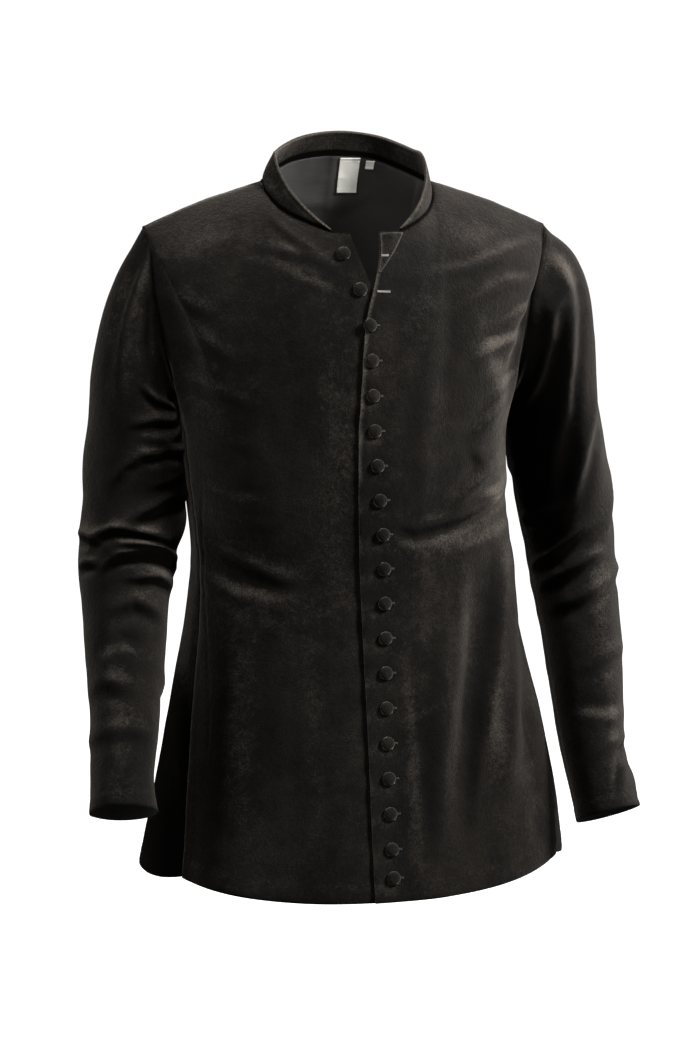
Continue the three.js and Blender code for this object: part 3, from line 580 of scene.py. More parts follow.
# %% Creases of the sleeves
# half width, height, then degrees round and z of each point of the line
SLEEVE_RIGHT_CREASES = [
    (9, 2.2, 20, -70, 40, -110, 52, -170, 60, -232),
    (8, 1.6, 60, -92, 84, -132, 100, -190),
    (9, 1.8, -20, -86, -36, -140, -48, -210),
    (6, 1.6, 92, -222, 111, -232, 150, -236),
    (6, 2.0, 79, -262, 108, -256, 150, -262),
    (6, 1.6, 96, -278, 120, -282, 158, -272),
    (7, 3.0, 58, -328, 72, -312, 90, -298, 120, -292, 160, -298),
    (6, 2.0, 104, -336, 130, -330, 164, -318),
    (8, 3.2, 66, -388, 90, -370, 114, -356, 168, -344),
    (6, 2.8, 26, -412, 40, -396, 62, -388, 96, -390, 124, -394),
    (6, 2.2, 70, -404, 97, -406, 134, -416, 170, -420),
    (6, 2.8, 48, -434, 72, -420, 100, -416, 140, -424, 176, -432),
    (7, 1.9, 80, -446, 120, -442, 168, -452),
    (7, 2.4, -6, -394, 20, -396, 44, -400),
    (6, 2.0, 0, -430, 20, -426, 40, -426),
    (8, 1.6, 50, -480, 90, -470, 140, -484),
    (9, -1.4, 30, -520, 70, -508, 110, -516),
    (9, 1.4, -10, -560, 40, -548, 96, -556),
    (8, 1.2, -40, -610, 10, -602, 75, -594, 130, -600),
    (9, 1.6, 150, -540, 190, -556, 240, -560),
    (10, 2.2, 200, -120, 214, -180, 230, -250),
    (10, 1.8, 270, -100, 262, -160, 250, -230),
    (10, 1.7, 190, -292, 230, -318, 268, -336),
    (10, 2.0, 304, -346, 262, -372, 218, -388),
    (9, -1.8, 318, -398, 276, -408, 226, -436),
    (10, 1.8, 206, -462, 250, -448, 296, -426),
    (10, 1.5, 214, -500, 270, -508, 330, -500),
]
SLEEVE_LEFT_CREASES = [
    (8, 3.2, 36, -112, 50, -142, 78, -156, 105, -188, 122, -218, 139, -240, 158, -268),
    (9, 3.4, 34, -124, 65, -179, 85, -227, 94, -263, 111, -307, 124, -352),
    (10, 1.8, 12, -140, 30, -210, 48, -276),
    (9, 2.8, 40, -252, 72, -303, 97, -357, 110, -386),
    (7, 1.6, 132, -150, 146, -176, 166, -200),
    (7, 1.8, 128, -290, 146, -316, 170, -330),
    (10, 1.8, 8, -330, 30, -372, 56, -408),
    (7, 2.8, 84, -398, 104, -412, 135, -435, 168, -446),
    (7, 2.2, 60, -430, 88, -440, 120, -456, 160, -470),
    (8, 2.0, 36, -462, 64, -468, 110, -486, 150, -496),
    (7, 1.9, 110, -372, 140, -384, 172, -386),
    (9, 1.8, -20, -440, 10, -452, 40, -456),
    (9, 1.5, 20, -540, 70, -548, 120, -566),
    (9, -1.3, 30, -600, 80, -606, 134, -604),
    (7, 1.2, 14, -636, 46, -642, 77, -645, 114, -656),
    (7, -1.8, 33, -650, 64, -666, 86, -687),
    (8, 1.5, -10, -668, 20, -684, 36, -706),
    (10, 2.0, 200, -140, 216, -200, 228, -262),
    (10, 2.0, 280, -110, 268, -170, 258, -240),
    (10, 1.8, 196, -322, 236, -342, 272, -362),
    (10, 1.9, 308, -370, 262, -396, 216, -410),
    (10, -1.7, 198, -452, 240, -444, 296, -422),
    (10, 1.9, 210, -500, 256, -486, 306, -468),
    (10, 1.5, 210, -560, 264, -572, 330, -566),
]
print("creases of the sleeves:", len(SLEEVE_RIGHT_CREASES) + len(SLEEVE_LEFT_CREASES))

# %% [markdown]
# ## Patches of painted light and shade
# Broad patches paint light and shade into the velvet: lighter where the key light would catch the cloth,
# black where shade lies deep in a fold, under an arm or beside a vent. Each has its place, its half
# length and half width in millimetres, the way it runs in degrees, and how strong it is.

# %% Patches of painted light and shade on the body
FRONT_LEFT_PAINTED_LIGHT = [
    (142, -60, 62, 20, -14, 0.13),
    (150, -200, 42, 14, -68, 0.27),
    (178, -150, 30, 12, 60, 0.10),
    (168, -318, 56, 20, 84, 0.22),
    (178, -258, 26, 7, 44, 0.14),
    (158, -350, 30, 7, -32, 0.14),
    (112, -392, 58, 18, 24, 0.06),
    (172, -420, 44, 16, 70, 0.10),
    (140, -590, 80, 16, 96, 0.13),
    (120, -480, 50, 12, 80, 0.07),
    (66, -520, 110, 22, 92, 0.05),
    (60, -130, 60, 18, 70, 0.06),
    (196, -690, 60, 14, 92, 0.06),
    (92, -250, 60, 26, 90, -0.05),
    (100, -690, 70, 18, 90, -0.06),
]
FRONT_RIGHT_PAINTED_LIGHT = [
    (-180, -58, 46, 16, 18, 0.13),
    (-84, -82, 52, 14, -24, 0.08),
    (-44, -330, 130, 20, 88, 0.07),
    (-130, -470, 64, 22, -16, 0.07),
    (-150, -600, 90, 26, 94, 0.03),
    (-186, -200, 54, 14, 84, 0.06),
    (-120, -300, 70, 28, 80, -0.05),
    (-100, -640, 90, 24, 92, -0.05),
]
BACK_PAINTED_LIGHT = [
    (-150, -50, 56, 20, 14, 0.12),
    (146, -54, 60, 20, -12, 0.12),
    (0, -160, 90, 40, 90, 0.06),
    (-80, -560, 90, 14, 94, 0.12),
    (72, -600, 100, 14, 86, 0.12),
    (150, -330, 50, 18, 80, 0.10),
    # painted shade at the back's sides beside the vents
    (-218, -690, 150, 46, 98, -0.65),
    (226, -690, 110, 22, 80, -0.16),
]
print("patches of the body:", len(FRONT_LEFT_PAINTED_LIGHT) + len(FRONT_RIGHT_PAINTED_LIGHT) + len(BACK_PAINTED_LIGHT))

# %% Patches of painted light and shade on the sleeves
# here the first number is the way round in degrees
SLEEVE_RIGHT_PAINTED_LIGHT = [
    (34, -120, 60, 22, 84, 0.07),
    (62, -220, 50, 14, 70, 0.07),
    (20, -370, 50, 18, 80, 0.09),
    (64, -560, 80, 16, 96, 0.10),
    (150, -300, 90, 20, 92, -0.16),
    (240, -300, 120, 30, 90, 0.06),
    # painted shade in the pits of the crumpled inside of the elbow
    (146, -236, 12, 5, 0, -0.5),
    (138, -264, 24, 5, 4, -0.5),
    (150, -282, 14, 6, 0, -0.5),
    (146, -335, 34, 20, 50, -0.6),
    (110, -406, 56, 8, 5, -0.4),
    (60, -330, 260, 60, 92, -0.05),
]
SLEEVE_LEFT_PAINTED_LIGHT = [
    (48, -92, 46, 20, 60, 0.16),
    (96, -146, 40, 14, 70, 0.10),
    (36, -270, 80, 20, 92, 0.08),
    (76, -470, 70, 14, 96, 0.12),
    (70, -620, 60, 14, 92, 0.10),
    # painted shade on the inner side of the arm, next to the body
    (122, -290, 150, 34, 95, -0.80),
    (240, -300, 120, 30, 90, 0.06),
]
print("patches of the sleeves:", len(SLEEVE_RIGHT_PAINTED_LIGHT) + len(SLEEVE_LEFT_PAINTED_LIGHT))


# %% All patches of painted light and shade of a table together
def painted_light_patches(table, first, second, girth=0.0):
    total = np.zeros(first.shape)
    for a, b, long, wide, turn, strong in table:
        u = shorter_way(first - a * (SLEEVE_MM_PER_DEGREE if girth else 1.0), girth)
        v = second - b
        c, d = math.cos(math.radians(turn)), math.sin(math.radians(turn))
        total += strong * bell(u * c + v * d, long) * bell(v * c - u * d, wide)
    return total


# %% [markdown]
# ## Seams and edges
# Where two pieces are sewn together, both turn in, so a seam is a soft groove, and velvet puckers a
# little beside it. A hem, cuff or front edge is turned up instead: the double cloth stands a little
# proud along the fold, and a faint line shows where the inner edge is caught down. All of these give
# millimetres of lift from millimetres of distance.


# %% Seams and turned edges
def seam_groove(gap, deep=1.1, wide=3.2):
    return -deep * bell(gap, wide)


def pucker(grid, gap, seed, high=0.45, wide=12):
    return high * ripple(grid, 9, seed) * bell(gap, wide)


def turned_edge(gap, deep, high=0.5):
    """A folded edge, deep from fold to stitches."""
    fold = high * (1 - ease(gap, deep - 3, deep + 2))
    stitches = -0.5 * high * bell(gap - deep, 1.6)
    roll = -0.9 * bell(gap, 1.5)
    return fold + stitches + roll


# %% Joining sewn edges
SEWN_REACH = 14 * MM  # how far from a border the cloth follows it


def sewn(cloth, border, line):
    """Pulls a sewn border onto the line that it is sewn to, and the cloth beside it a little less."""
    target, own = search_tree(line), search_tree(border)
    shifts = []
    for point in border:
        place, _, gap = target.find(point)
        shifts.append((np.array(place) - point) * (1 - ease(gap, 3 * MM, 6 * MM)))
    flat = cloth.reshape(-1, 3).copy()
    for k in within(flat, border, SEWN_REACH):
        _, index, gap = own.find(flat[k])
        flat[k] += shifts[index] * (1 - ease(gap, 0, SEWN_REACH))
    return flat.reshape(cloth.shape)


# %% Seam allowances
ALLOWANCE_LEFT = 0.2  # the share of a side's allowance that is left beside its vent


def tucked(cloth, painted_light, sides, closed=False, out=1.6, down=1.8, vent=None):
    """Adds a row or column past each sewn side, turned inward like a seam allowance. Below the vent
    a side isn't sewn, so it turns in less."""
    for side in sides:
        axis, end = {"top": (0, 1), "bottom": (0, -1), "first": (1, 1), "last": (1, -1)}[side]
        # the painted light and shade is carried along, repeated on each added row or column
        grid, facing, pile = (a.swapaxes(0, axis)[::end] for a in (cloth, outward(cloth, closed), painted_light))
        added = unit(grid[0] - grid[1], 1e-9) * out - facing[0] * down
        if axis and vent:
            added *= 1 - (1 - ALLOWANCE_LEFT) * ease(-grid[0][:, 2:] / MM, vent, vent + 15)
        cloth = np.concatenate([[grid[0] + added * MM], grid])[::end].swapaxes(0, axis)
        painted_light = np.concatenate([pile[:1], pile])[::end].swapaxes(0, axis)
    return cloth, painted_light


# %% Painted light and shade from the creases, lit from the wearer's upper left
KEY_LIGHT_WAY = np.array((0.5, -0.1, 0.85))


def crease_shading(smooth, cloth, closed=False):
    """Painted light and shade: how far the creases turn each place toward the key light."""
    return ((outward(cloth, closed) - outward(smooth, closed)) * KEY_LIGHT_WAY).sum(axis=2)


# %% The buttons' places
BUTTONS = [f"button_{k:02d}" for k in range(1, 20)]


def button_axis(node):
    """The middle of the button's flat back and the way it faces."""
    bm = node_mesh(node)
    points = np.array([v.co for v in bm.verts])
    bm.free()
    middle = points.mean(axis=0)
    way = np.linalg.svd(points - middle)[2][2]
    way *= -np.sign(way[1])
    high = (points - middle) @ way
    return middle + way * high.min(), way


button_places = {name: button_axis(name) for name in BUTTONS}
print("top button at", np.round(button_places["button_01"][0] / MM, 1))


# %% The cloth near the buttons
def near_buttons(grid, wide):
    """1 at a button, falling to 0 further away than about wide."""
    gaps = [np.linalg.norm(grid - middle, axis=2) / MM for middle, _ in button_places.values()]
    return bell(np.min(gaps, axis=0), wide)


# %% [markdown]
# ## Making a cloth shell
# A grid operator lays out the mesh, each of its points is put in its place on the cloth, and a Solidify
# modifier gives it its thickness inward. Its inner side takes the second material, so the jacket is
# lined. The distance along the rows and columns becomes a UV map in metres, for anything that has to
# follow the cloth. The painted light and shade of each point is kept beside it as an attribute.

# %% Finishing a piece
pieces = {}


def finish_mesh(name, bm, materials, mesh=None):
    """Makes a built mesh into a piece of the one body."""
    for face in bm.faces:
        face.smooth = True
    mesh = mesh or bpy.data.meshes.new(name)
    bm.to_mesh(mesh)
    bm.free()
    for material in materials:
        mesh.materials.append(material)
    pieces[name] = placed(name, mesh)
    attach(pieces[name], "root")
    return pieces[name]


# %% From a grid to a shell
SOFT_EDGE = 0.28  # how far a shell's edge is rounded, as a share of its thickness
SHARP = math.radians(55)  # edges sharper than this are rounded


def shell(name, node, grid, thickness, materials, toward, painted_light=None, closed=False):
    """A piece of cloth from a grid of places; toward gives the outward directions."""
    rows, columns = grid.shape[:2]
    bm = bmesh.new()
    bmesh.ops.create_grid(bm, x_segments=columns - 1, y_segments=rows - 1, size=1)
    mesh = bpy.data.meshes.new(name)
    bm.to_mesh(mesh)
    bm.free()
    mesh.vertices.foreach_set("co", grid.astype(np.float32).ravel())
    corners = np.empty(len(mesh.loops), np.int32)
    mesh.loops.foreach_get("vertex_index", corners)
    places = np.stack([along(grid, 1).ravel(), along(grid, 0).ravel()], axis=1)
    layer = mesh.uv_layers.new(name="cloth")
    layer.data.foreach_set("uv", places[corners].astype(np.float32).ravel())
    # the painted light and shade of each point, kept for the velvet
    if painted_light is not None:
        kept = mesh.attributes.new("painted_light", "FLOAT", "POINT")
        kept.data.foreach_set("value", painted_light.astype(np.float32).ravel())
    bm = bmesh.new()
    bm.from_mesh(mesh)
    bm.normal_update()
    bm.faces.ensure_lookup_table()
    probe = bm.faces[len(bm.faces) // 2]
    if probe.normal.dot(Vector(toward.reshape(-1, 3)[probe.verts[0].index])) < 0:
        bmesh.ops.reverse_faces(bm, faces=bm.faces)
    if closed:
        bmesh.ops.remove_doubles(bm, verts=bm.verts, dist=SAME_PLACE)
    piece = finish_mesh(name, bm, materials, mesh)
    wall = piece.modifiers.new("thickness", "SOLIDIFY")
    wall.thickness = thickness
    wall.offset = -1
    wall.use_even_offset = False
    wall.material_offset = len(materials) - 1
    wall.material_offset_rim = 0
    edge = piece.modifiers.new("soft edge", "BEVEL")
    edge.width = SOFT_EDGE * thickness
    edge.segments = 2
    edge.limit_method = "ANGLE"
    edge.angle_limit = SHARP
    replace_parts(piece, node)


# %% [markdown]
# ## Writing materials
# A material is a small calculation on every point of the surface. A Socket wraps one output, so that
# ordinary arithmetic adds the Math nodes, and one method of Nodes adds any other kind of node.


# %% Sockets
class Socket:
    """One output of a node, with arithmetic."""

    def __init__(self, nodes, out):
        self.nodes, self.out = nodes, out

    def math(self, operation, *values):
        return self.nodes.add("ShaderNodeMath", {"operation": operation}, dict(enumerate(values)))[0]

    def __add__(self, other):
        return self.math("ADD", self, other)

    def __sub__(self, other):
        return self.math("SUBTRACT", self, other)

    def __rsub__(self, other):
        return self.math("SUBTRACT", other, self)

    def __mul__(self, other):
        return self.math("MULTIPLY", self, other)

    def sine(self):
        return self.math("SINE", self)

    def between(self, low, high):
        """0 below low, 1 above high and smooth between them."""
        kind = {"interpolation_type": "SMOOTHSTEP"}
        return self.nodes.add("ShaderNodeMapRange", kind, {"Value": self, 1: low, 2: high})[0]

    __radd__ = __add__
    __rmul__ = __mul__


# %% Nodes of a material
class Nodes:
    """A new material and the nodes added to it."""

    def __init__(self, name):
        self.material = bpy.data.materials.new(name)
        self.material.use_nodes = True
        self.tree = self.material.node_tree
        self.shader = self.tree.nodes["Principled BSDF"]
        self.places = self.add("ShaderNodeTexCoord")["Object"]

    def add(self, kind, settings=None, inputs=None):
        """Adds a node and gives its outputs, by number or by name."""
        node = self.tree.nodes.new(kind)
        for key, value in (settings or {}).items():
            setattr(node, key, value)
        for key, value in (inputs or {}).items():
            self.put(node.inputs[key], value)
        found = {o.name: Socket(self, o) for o in node.outputs}
        found.update({k: Socket(self, o) for k, o in enumerate(node.outputs)})
        return found

    def put(self, socket, value):
        if isinstance(value, Socket):
            self.tree.links.new(value.out, socket)
        else:
            socket.default_value = value

    def noise(self, scale, detail=2.0, where=None):
        inputs = {"Vector": where or self.places, "Scale": scale, "Detail": detail}
        return self.add("ShaderNodeTexNoise", None, inputs)["Fac"]

    def stretched(self, scale):
        """Object places, scaled differently along each axis."""
        return self.add("ShaderNodeMapping", None, {"Vector": self.places, "Scale": scale})[0]

    def mixed(self, share, first, second, blend="MIX"):
        """Blends two colours."""
        kind = {"data_type": "RGBA", "blend_type": blend}
        return self.add("ShaderNodeMix", kind, {0: share, 6: first, 7: second})[2]

    def bump(self, height, distance, strength):
        inputs = {"Height": height, "Distance": distance, "Strength": strength}
        return self.add("ShaderNodeBump", None, inputs)["Normal"]

    def finish(self, **inputs):
        """Sets the shader's sockets; underscores stand for spaces."""
        for key, value in inputs.items():
            self.put(self.shader.inputs[key.replace("_", " ")], value)
        return self.material


# %% [markdown]
# ## Velvet
# Velvet is a dense short pile. Seen along the pile it is nearly black, and it catches light only where
# it is seen or lit across, so its folds are drawn in light edges. A matt, dark base with a sheen does
# that. Painted light at each point lifts its colour to a painted highlight on the crest of a crease and
# darkens it to painted shade behind one, and a fine grain breaks up both the colour and the light. Deep
# in a fold hardly any light comes back, so there the pile gives way to a plain black, as painted shade.

# %% Velvet for the body and for the buttons
BLACK = (0.0022, 0.0018, 0.0015, 1)
CHARCOAL = (0.0098, 0.0083, 0.0069, 1)
# a painted highlight colour for the crests of creases, and painted shade colours behind them and deep in
# folds
PAINTED_HIGHLIGHT = (0.060, 0.051, 0.043, 1)
PAINTED_SHADE = (0.0012, 0.0011, 0.001, 1)
PAINTED_SHADE_BLACK = (0.0008, 0.0007, 0.0006, 1)
GRAIN_DARK, GRAIN_LIGHT = (0.42, 0.42, 0.42, 1), (1.5, 1.5, 1.5, 1)


def velvet(name, sheen):
    n = Nodes(name)
    drag = n.noise(1.0, 3.0, n.stretched((14, 14, 6)))
    clouds = n.noise(46.0, 3.0)
    rubbed = n.noise(170.0)
    pile = n.noise(1500.0)
    tufts = n.noise(520.0)
    patches = (drag * 0.55 + clouds * 0.3 + rubbed * 0.15).between(0.36, 0.66)
    # the painted light and shade kept at each point
    painted_light = n.add("ShaderNodeAttribute", {"attribute_name": "painted_light"})["Fac"]
    speckle = (clouds - 0.5) * 0.11 + (rubbed - 0.5) * 0.15 + (tufts - 0.5) * 0.16
    # how far each point takes the painted highlight, and below how far it takes the painted shade
    raised = (painted_light + speckle).between(0.0, 0.4)
    painted_shade_share = (painted_light * -1.0 + speckle).between(0.02, 0.3)
    tone = n.mixed(raised, n.mixed(patches, BLACK, CHARCOAL), PAINTED_HIGHLIGHT)
    tone = n.mixed(painted_shade_share * 0.75, tone, PAINTED_SHADE)
    grain = n.mixed((pile * 0.5 + tufts * 0.5).between(0.3, 0.7), GRAIN_DARK, GRAIN_LIGHT)
    height = pile * 0.35 + tufts * 0.6 + rubbed * 0.6 + clouds * 0.6
    # deep in a fold the velvet is mixed toward a plain black diffuse: painted shade
    plain = n.add("ShaderNodeBsdfDiffuse", None, {"Color": PAINTED_SHADE_BLACK})[0]
    whole = {0: painted_shade_share * 0.85, 1: Socket(n, n.shader.outputs[0]), 2: plain}
    surface = n.add("ShaderNodeMixShader", None, whole)[0]
    n.put(n.tree.nodes["Material Output"].inputs["Surface"], surface)
    return n.finish(
        Base_Color=n.mixed(1.0, tone, grain, "MULTIPLY"),
        Roughness=0.72 + patches * 0.16,
        Sheen_Weight=sheen,
        Sheen_Roughness=0.42,
        Sheen_Tint=(0.88, 0.79, 0.70, 1),
        Specular_IOR_Level=0.04,
        Normal=n.bump(height, 0.0012, 0.8),
    )


velvet_cloth = velvet("velvet", 0.26)
button_velvet = velvet("button velvet", 0.45)
print("velvets:", velvet_cloth.name, button_velvet.name)

# %% [markdown]
# ## Lining, tape and thread
# The lining is a plain dark grey weave with a slight shine. A weave is two sets of ridges that take
# turns on top, which a product of two waves gives. The labels are a cream tape with fine ribs. The
# thread of the buttonholes is a dark, slightly shiny twist; the undone holes get a paler one, whose
# colour is painted sheen.


# %% Lining, label tape and thread
def woven(name, colour, other, pitch, rough, deep):
    n = Nodes(name)
    parts = n.add("ShaderNodeSeparateXYZ", None, {"Vector": n.places})
    warp, weft = ((parts[axis] * (2 * math.pi / pitch)).sine() for axis in "XZ")
    weave = (warp * weft) * 0.5 + 0.5
    slub = n.noise(1.0, 3.0, n.stretched((60, 60, 900)))
    cloudy = n.noise(30.0, 3.0)
    tone = n.mixed((weave * 0.35 + slub * 0.4 + cloudy * 0.35).between(0.25, 0.8), colour, other)
    return n.finish(
        Base_Color=tone,
        Roughness=rough + slub * 0.15,
        Specular_IOR_Level=0.3,
        Sheen_Weight=0.12,
        Normal=n.bump(weave * 0.7 + slub * 0.3, deep, 0.6),
    )


LINING_GREYS = (0.026, 0.0235, 0.022, 1), (0.052, 0.047, 0.044, 1)
TAPE_CREAMS = (0.90, 0.86, 0.77, 1), (0.97, 0.95, 0.89, 1)
THREAD_BLACKS = (0.010, 0.009, 0.008, 1), (0.04, 0.036, 0.032, 1)
# paler greys: painted sheen of the thread on the undone buttonholes
SHEEN_GREYS = (0.05, 0.045, 0.04, 1), (0.26, 0.24, 0.21, 1)
lining_cloth = woven("lining", *LINING_GREYS, 0.0007, 0.5, 0.00012)
label_tape = woven("label tape", *TAPE_CREAMS, 0.0006, 0.6, 0.0001)
thread = woven("thread", *THREAD_BLACKS, 0.0005, 0.55, 0.0001)
sheen_thread = woven("thread sheen", *SHEEN_GREYS, 0.0005, 0.5, 0.0001)
print("materials:", [m.name for m in bpy.data.materials])

# %% [markdown]
# ## What all velvet panels share
# A panel's creases die away toward its top seam. The fronts and the back are sewn together down to the
# vents, and below those their sides are turned edges like the hem. When a panel has its shape, its
# sewn sides are tucked in and it becomes a lined shell.

# %% Panels of the body
HEM_DEEP, CUFF_DEEP, FACING_DEEP, VENT_DEEP = 22, 16, 6.5, 14
VENT_TOP = 640
made = {}


def body_places(grid):
    return grid[..., 0] / MM, grid[..., 2] / MM


def body_lift(grid, folds, from_sides, seeds):
    """The creases, side and shoulder seams, vents and hem of a front or the back."""
    from_top, from_hem = distance_to(grid, grid[0]), distance_to(grid, grid[-1])
    vent = ease(-body_places(grid)[1], VENT_TOP, VENT_TOP + 20)
    lift = folds * ease(from_top, 0, 14)
    lift += seam_groove(from_sides) * (1 - vent) + seam_groove(from_top)
    lift += pucker(grid, from_sides, seeds[0]) + pucker(grid, from_top, seeds[1])
    return lift + turned_edge(from_hem, HEM_DEEP) + turned_edge(from_sides, VENT_DEEP, 0.4) * vent


def make_up(name, painted_light, sides, closed=False):
    cloth, painted_light = tucked(made[name], painted_light, sides, closed, vent=VENT_TOP)
    if closed:
        cloth[:, -1] = cloth[:, 0]
    materials = [velvet_cloth, lining_cloth]
    shell(name + "_cloth", name, cloth, CLOTH, materials, outward(cloth, closed), painted_light, closed)
    moved = np.linalg.norm(made[name] - fine[name], axis=2).max() / MM
    print(name, "cloth lies up to", round(float(moved), 1), "mm off its solid")


# %% [markdown]
# ## The fronts
# The wearer's left front lies over the right one. Its cloth is pulled in a little under each button and
# stands up between them. The under front lies flat where the other covers it. Both meet the sleeve, the
# back and the collar in seams, and each has a long dart from the chest to the hip under the arm. The
# free edge of the over front gets a painted highlight along its fold.

# %% The darts
DART_LEFT = [(184, -318), (183, -360), (180, -420), (182, -500), (184, -590), (188, -640)]
DART_RIGHT = [(-182, -318), (-181, -360), (-178, -420), (-179, -500), (-182, -590), (-186, -640)]


def dart_line(grid, line):
    """The cloth's own points nearest to a line of (x, z), closely spaced."""
    x, z = (k.ravel() for k in body_places(grid))
    flat = grid.reshape(-1, 3)
    places = dense(np.array(line, float), 20)
    return np.array([flat[np.argmin((x - a) ** 2 + (z - b) ** 2)] for a, b in places])


# %% The fronts
LEFT, RIGHT = 1, -1
FIRST_BUTTON, BUTTON_SPACING = 74, 38.75


# rubbed is a table of patches of painted light and shade
def make_front(name, table, rubbed, dart, side, scale, crease_shading_share):
    grid = fine[name]
    x, z = body_places(grid)
    from_edge, from_side = distance_to(grid, grid[:, 0]), distance_to(grid, grid[:, -1])
    folds = creased(table, x, z, scale)
    folds += 0.7 * ripple(grid, 70, 2 + side) + 0.3 * ripple(grid, 24, 5 + side)
    folds *= 1 - 0.85 * near_buttons(grid, 13)
    if side == RIGHT:
        folds *= 1 - (1 - ease(from_edge, 20, 50)) * ease(-z, 130, 190)
    lift = body_lift(grid, folds, from_side, (8, 9))
    gap = distance_to(grid, dart_line(grid, dart), 1)
    dart_fades = ease(-z, 318, 380) * (1 - ease(-z, 600, 640))
    lift += (seam_groove(gap, 0.9, 2.2) + pucker(grid, gap, 10, 0.3, 9)) * dart_fades
    if side == LEFT:
        lift += turned_edge(from_edge, FACING_DEEP, 0.8)
        between = 0.5 - 0.5 * np.cos(2 * np.pi * (z + FIRST_BUTTON) / BUTTON_SPACING)
        lift += 0.9 * between * (1 - ease(from_edge, 8, 42)) * ease(-z, 150, 190)
        lift -= 0.8 * near_buttons(grid, 9)
    cloth = made[name] = lifted(grid, lift)
    x, z = body_places(cloth)
    # painted light and shade from the creases turned to the key light, and from the patches
    painted_light = crease_shading_share * crease_shading(grid, cloth) + painted_light_patches(rubbed, x, z)
    # painted shade along the top seam, deeper at the neck
    at_neck = 1 - ease(np.abs(x), 90, 110)
    painted_light -= (0.18 + 0.2 * at_neck) * bell(distance_to(cloth, cloth[0]), 2.5)
    if side == LEFT:
        from_edge = distance_to(cloth, cloth[:, 0])
        # a painted highlight along the fold of the over front's free edge, and painted shade at its
        # stitch line
        lit_edge_span = ease(-z, 60, 90) * (1 - 0.8 * ease(-z, 300, 360))
        painted_light += (0.34 * bell(from_edge, 2.2) - 0.1 * bell(from_edge - 7, 2)) * lit_edge_span
    make_up(name, painted_light, ["top", "last"])


make_front("front_left", FRONT_LEFT_CREASES, FRONT_LEFT_PAINTED_LIGHT, DART_LEFT, LEFT, 1.5, 0.8)
make_front("front_right", FRONT_RIGHT_CREASES, FRONT_RIGHT_PAINTED_LIGHT, DART_RIGHT, RIGHT, 0.8, 0.65)

# %% [markdown]
# ## The back
# The back is one width of velvet between the side seams, with a seam down its middle. It creases across
# the waist and falls in deep folds below it. It is sewn to the fronts, and runs a little under them at
# the vents so that those show no gap.

# %% The back
UNDERLAP = 9
grid = fine["back"]
x, z = body_places(grid)
folds = creased(BACK_CREASES, x, z, 1.25) + 0.8 * ripple(grid, 70, 21) + 0.3 * ripple(grid, 24, 22)
from_sides = np.minimum(distance_to(grid, grid[:, 0]), distance_to(grid, grid[:, -1]))
from_middle = distance_to(grid, grid[:, grid.shape[1] // 2])
lift = body_lift(grid, folds, from_sides, (24, 25))
lift += seam_groove(from_middle, 0.9, 2.2) + pucker(grid, from_middle, 23, 0.35, 10)
cloth = lifted(grid, lift)
for border in (cloth[0], cloth[:, 0], cloth[:, -1]):
    for side in ("front_left", "front_right"):
        for line in (made[side][0], made[side][:, -1]):
            cloth = sewn(cloth, border, dense(line, 4))
for border, inner in ((0, 1), (-1, -2)):
    run = unit(cloth[:, border] - cloth[:, inner])
    share = 1 - ease(distance_to(cloth, cloth[:, border]), 0, 40)
    share *= ease(-cloth[..., 2] / MM, 650, 720) * UNDERLAP * MM
    cloth = cloth + (run[:, None] - 0.35 * outward(cloth)) * share[..., None]
made["back"] = cloth
# painted light and shade from the creases turned to the key light, and from the patches, black beside
# the vents
painted_light = 0.65 * crease_shading(grid, cloth) + painted_light_patches(BACK_PAINTED_LIGHT, *body_places(cloth))
make_up("back", painted_light, ["top", "first", "last"])

# %% [markdown]
# ## The sleeves
# A sleeve is a tube, so its places are the way round it and the height. The creases run round the inside
# of the elbow and down from the shoulder. The seam to the armhole turns in, the cuff is turned up, and
# the seam under the arm runs down its inner side. The right sleeve is fuller on the inside above the
# elbow, and its cuff hangs a little askew.

# %% The sleeves
GIRTH = 360 * SLEEVE_MM_PER_DEGREE
INNER_FULLNESS = 6.0
CUFF_OUTSIDE, CUFF_ACROSS, CUFF_RISE, CUFF_DROP = -318, 70, 2, 8


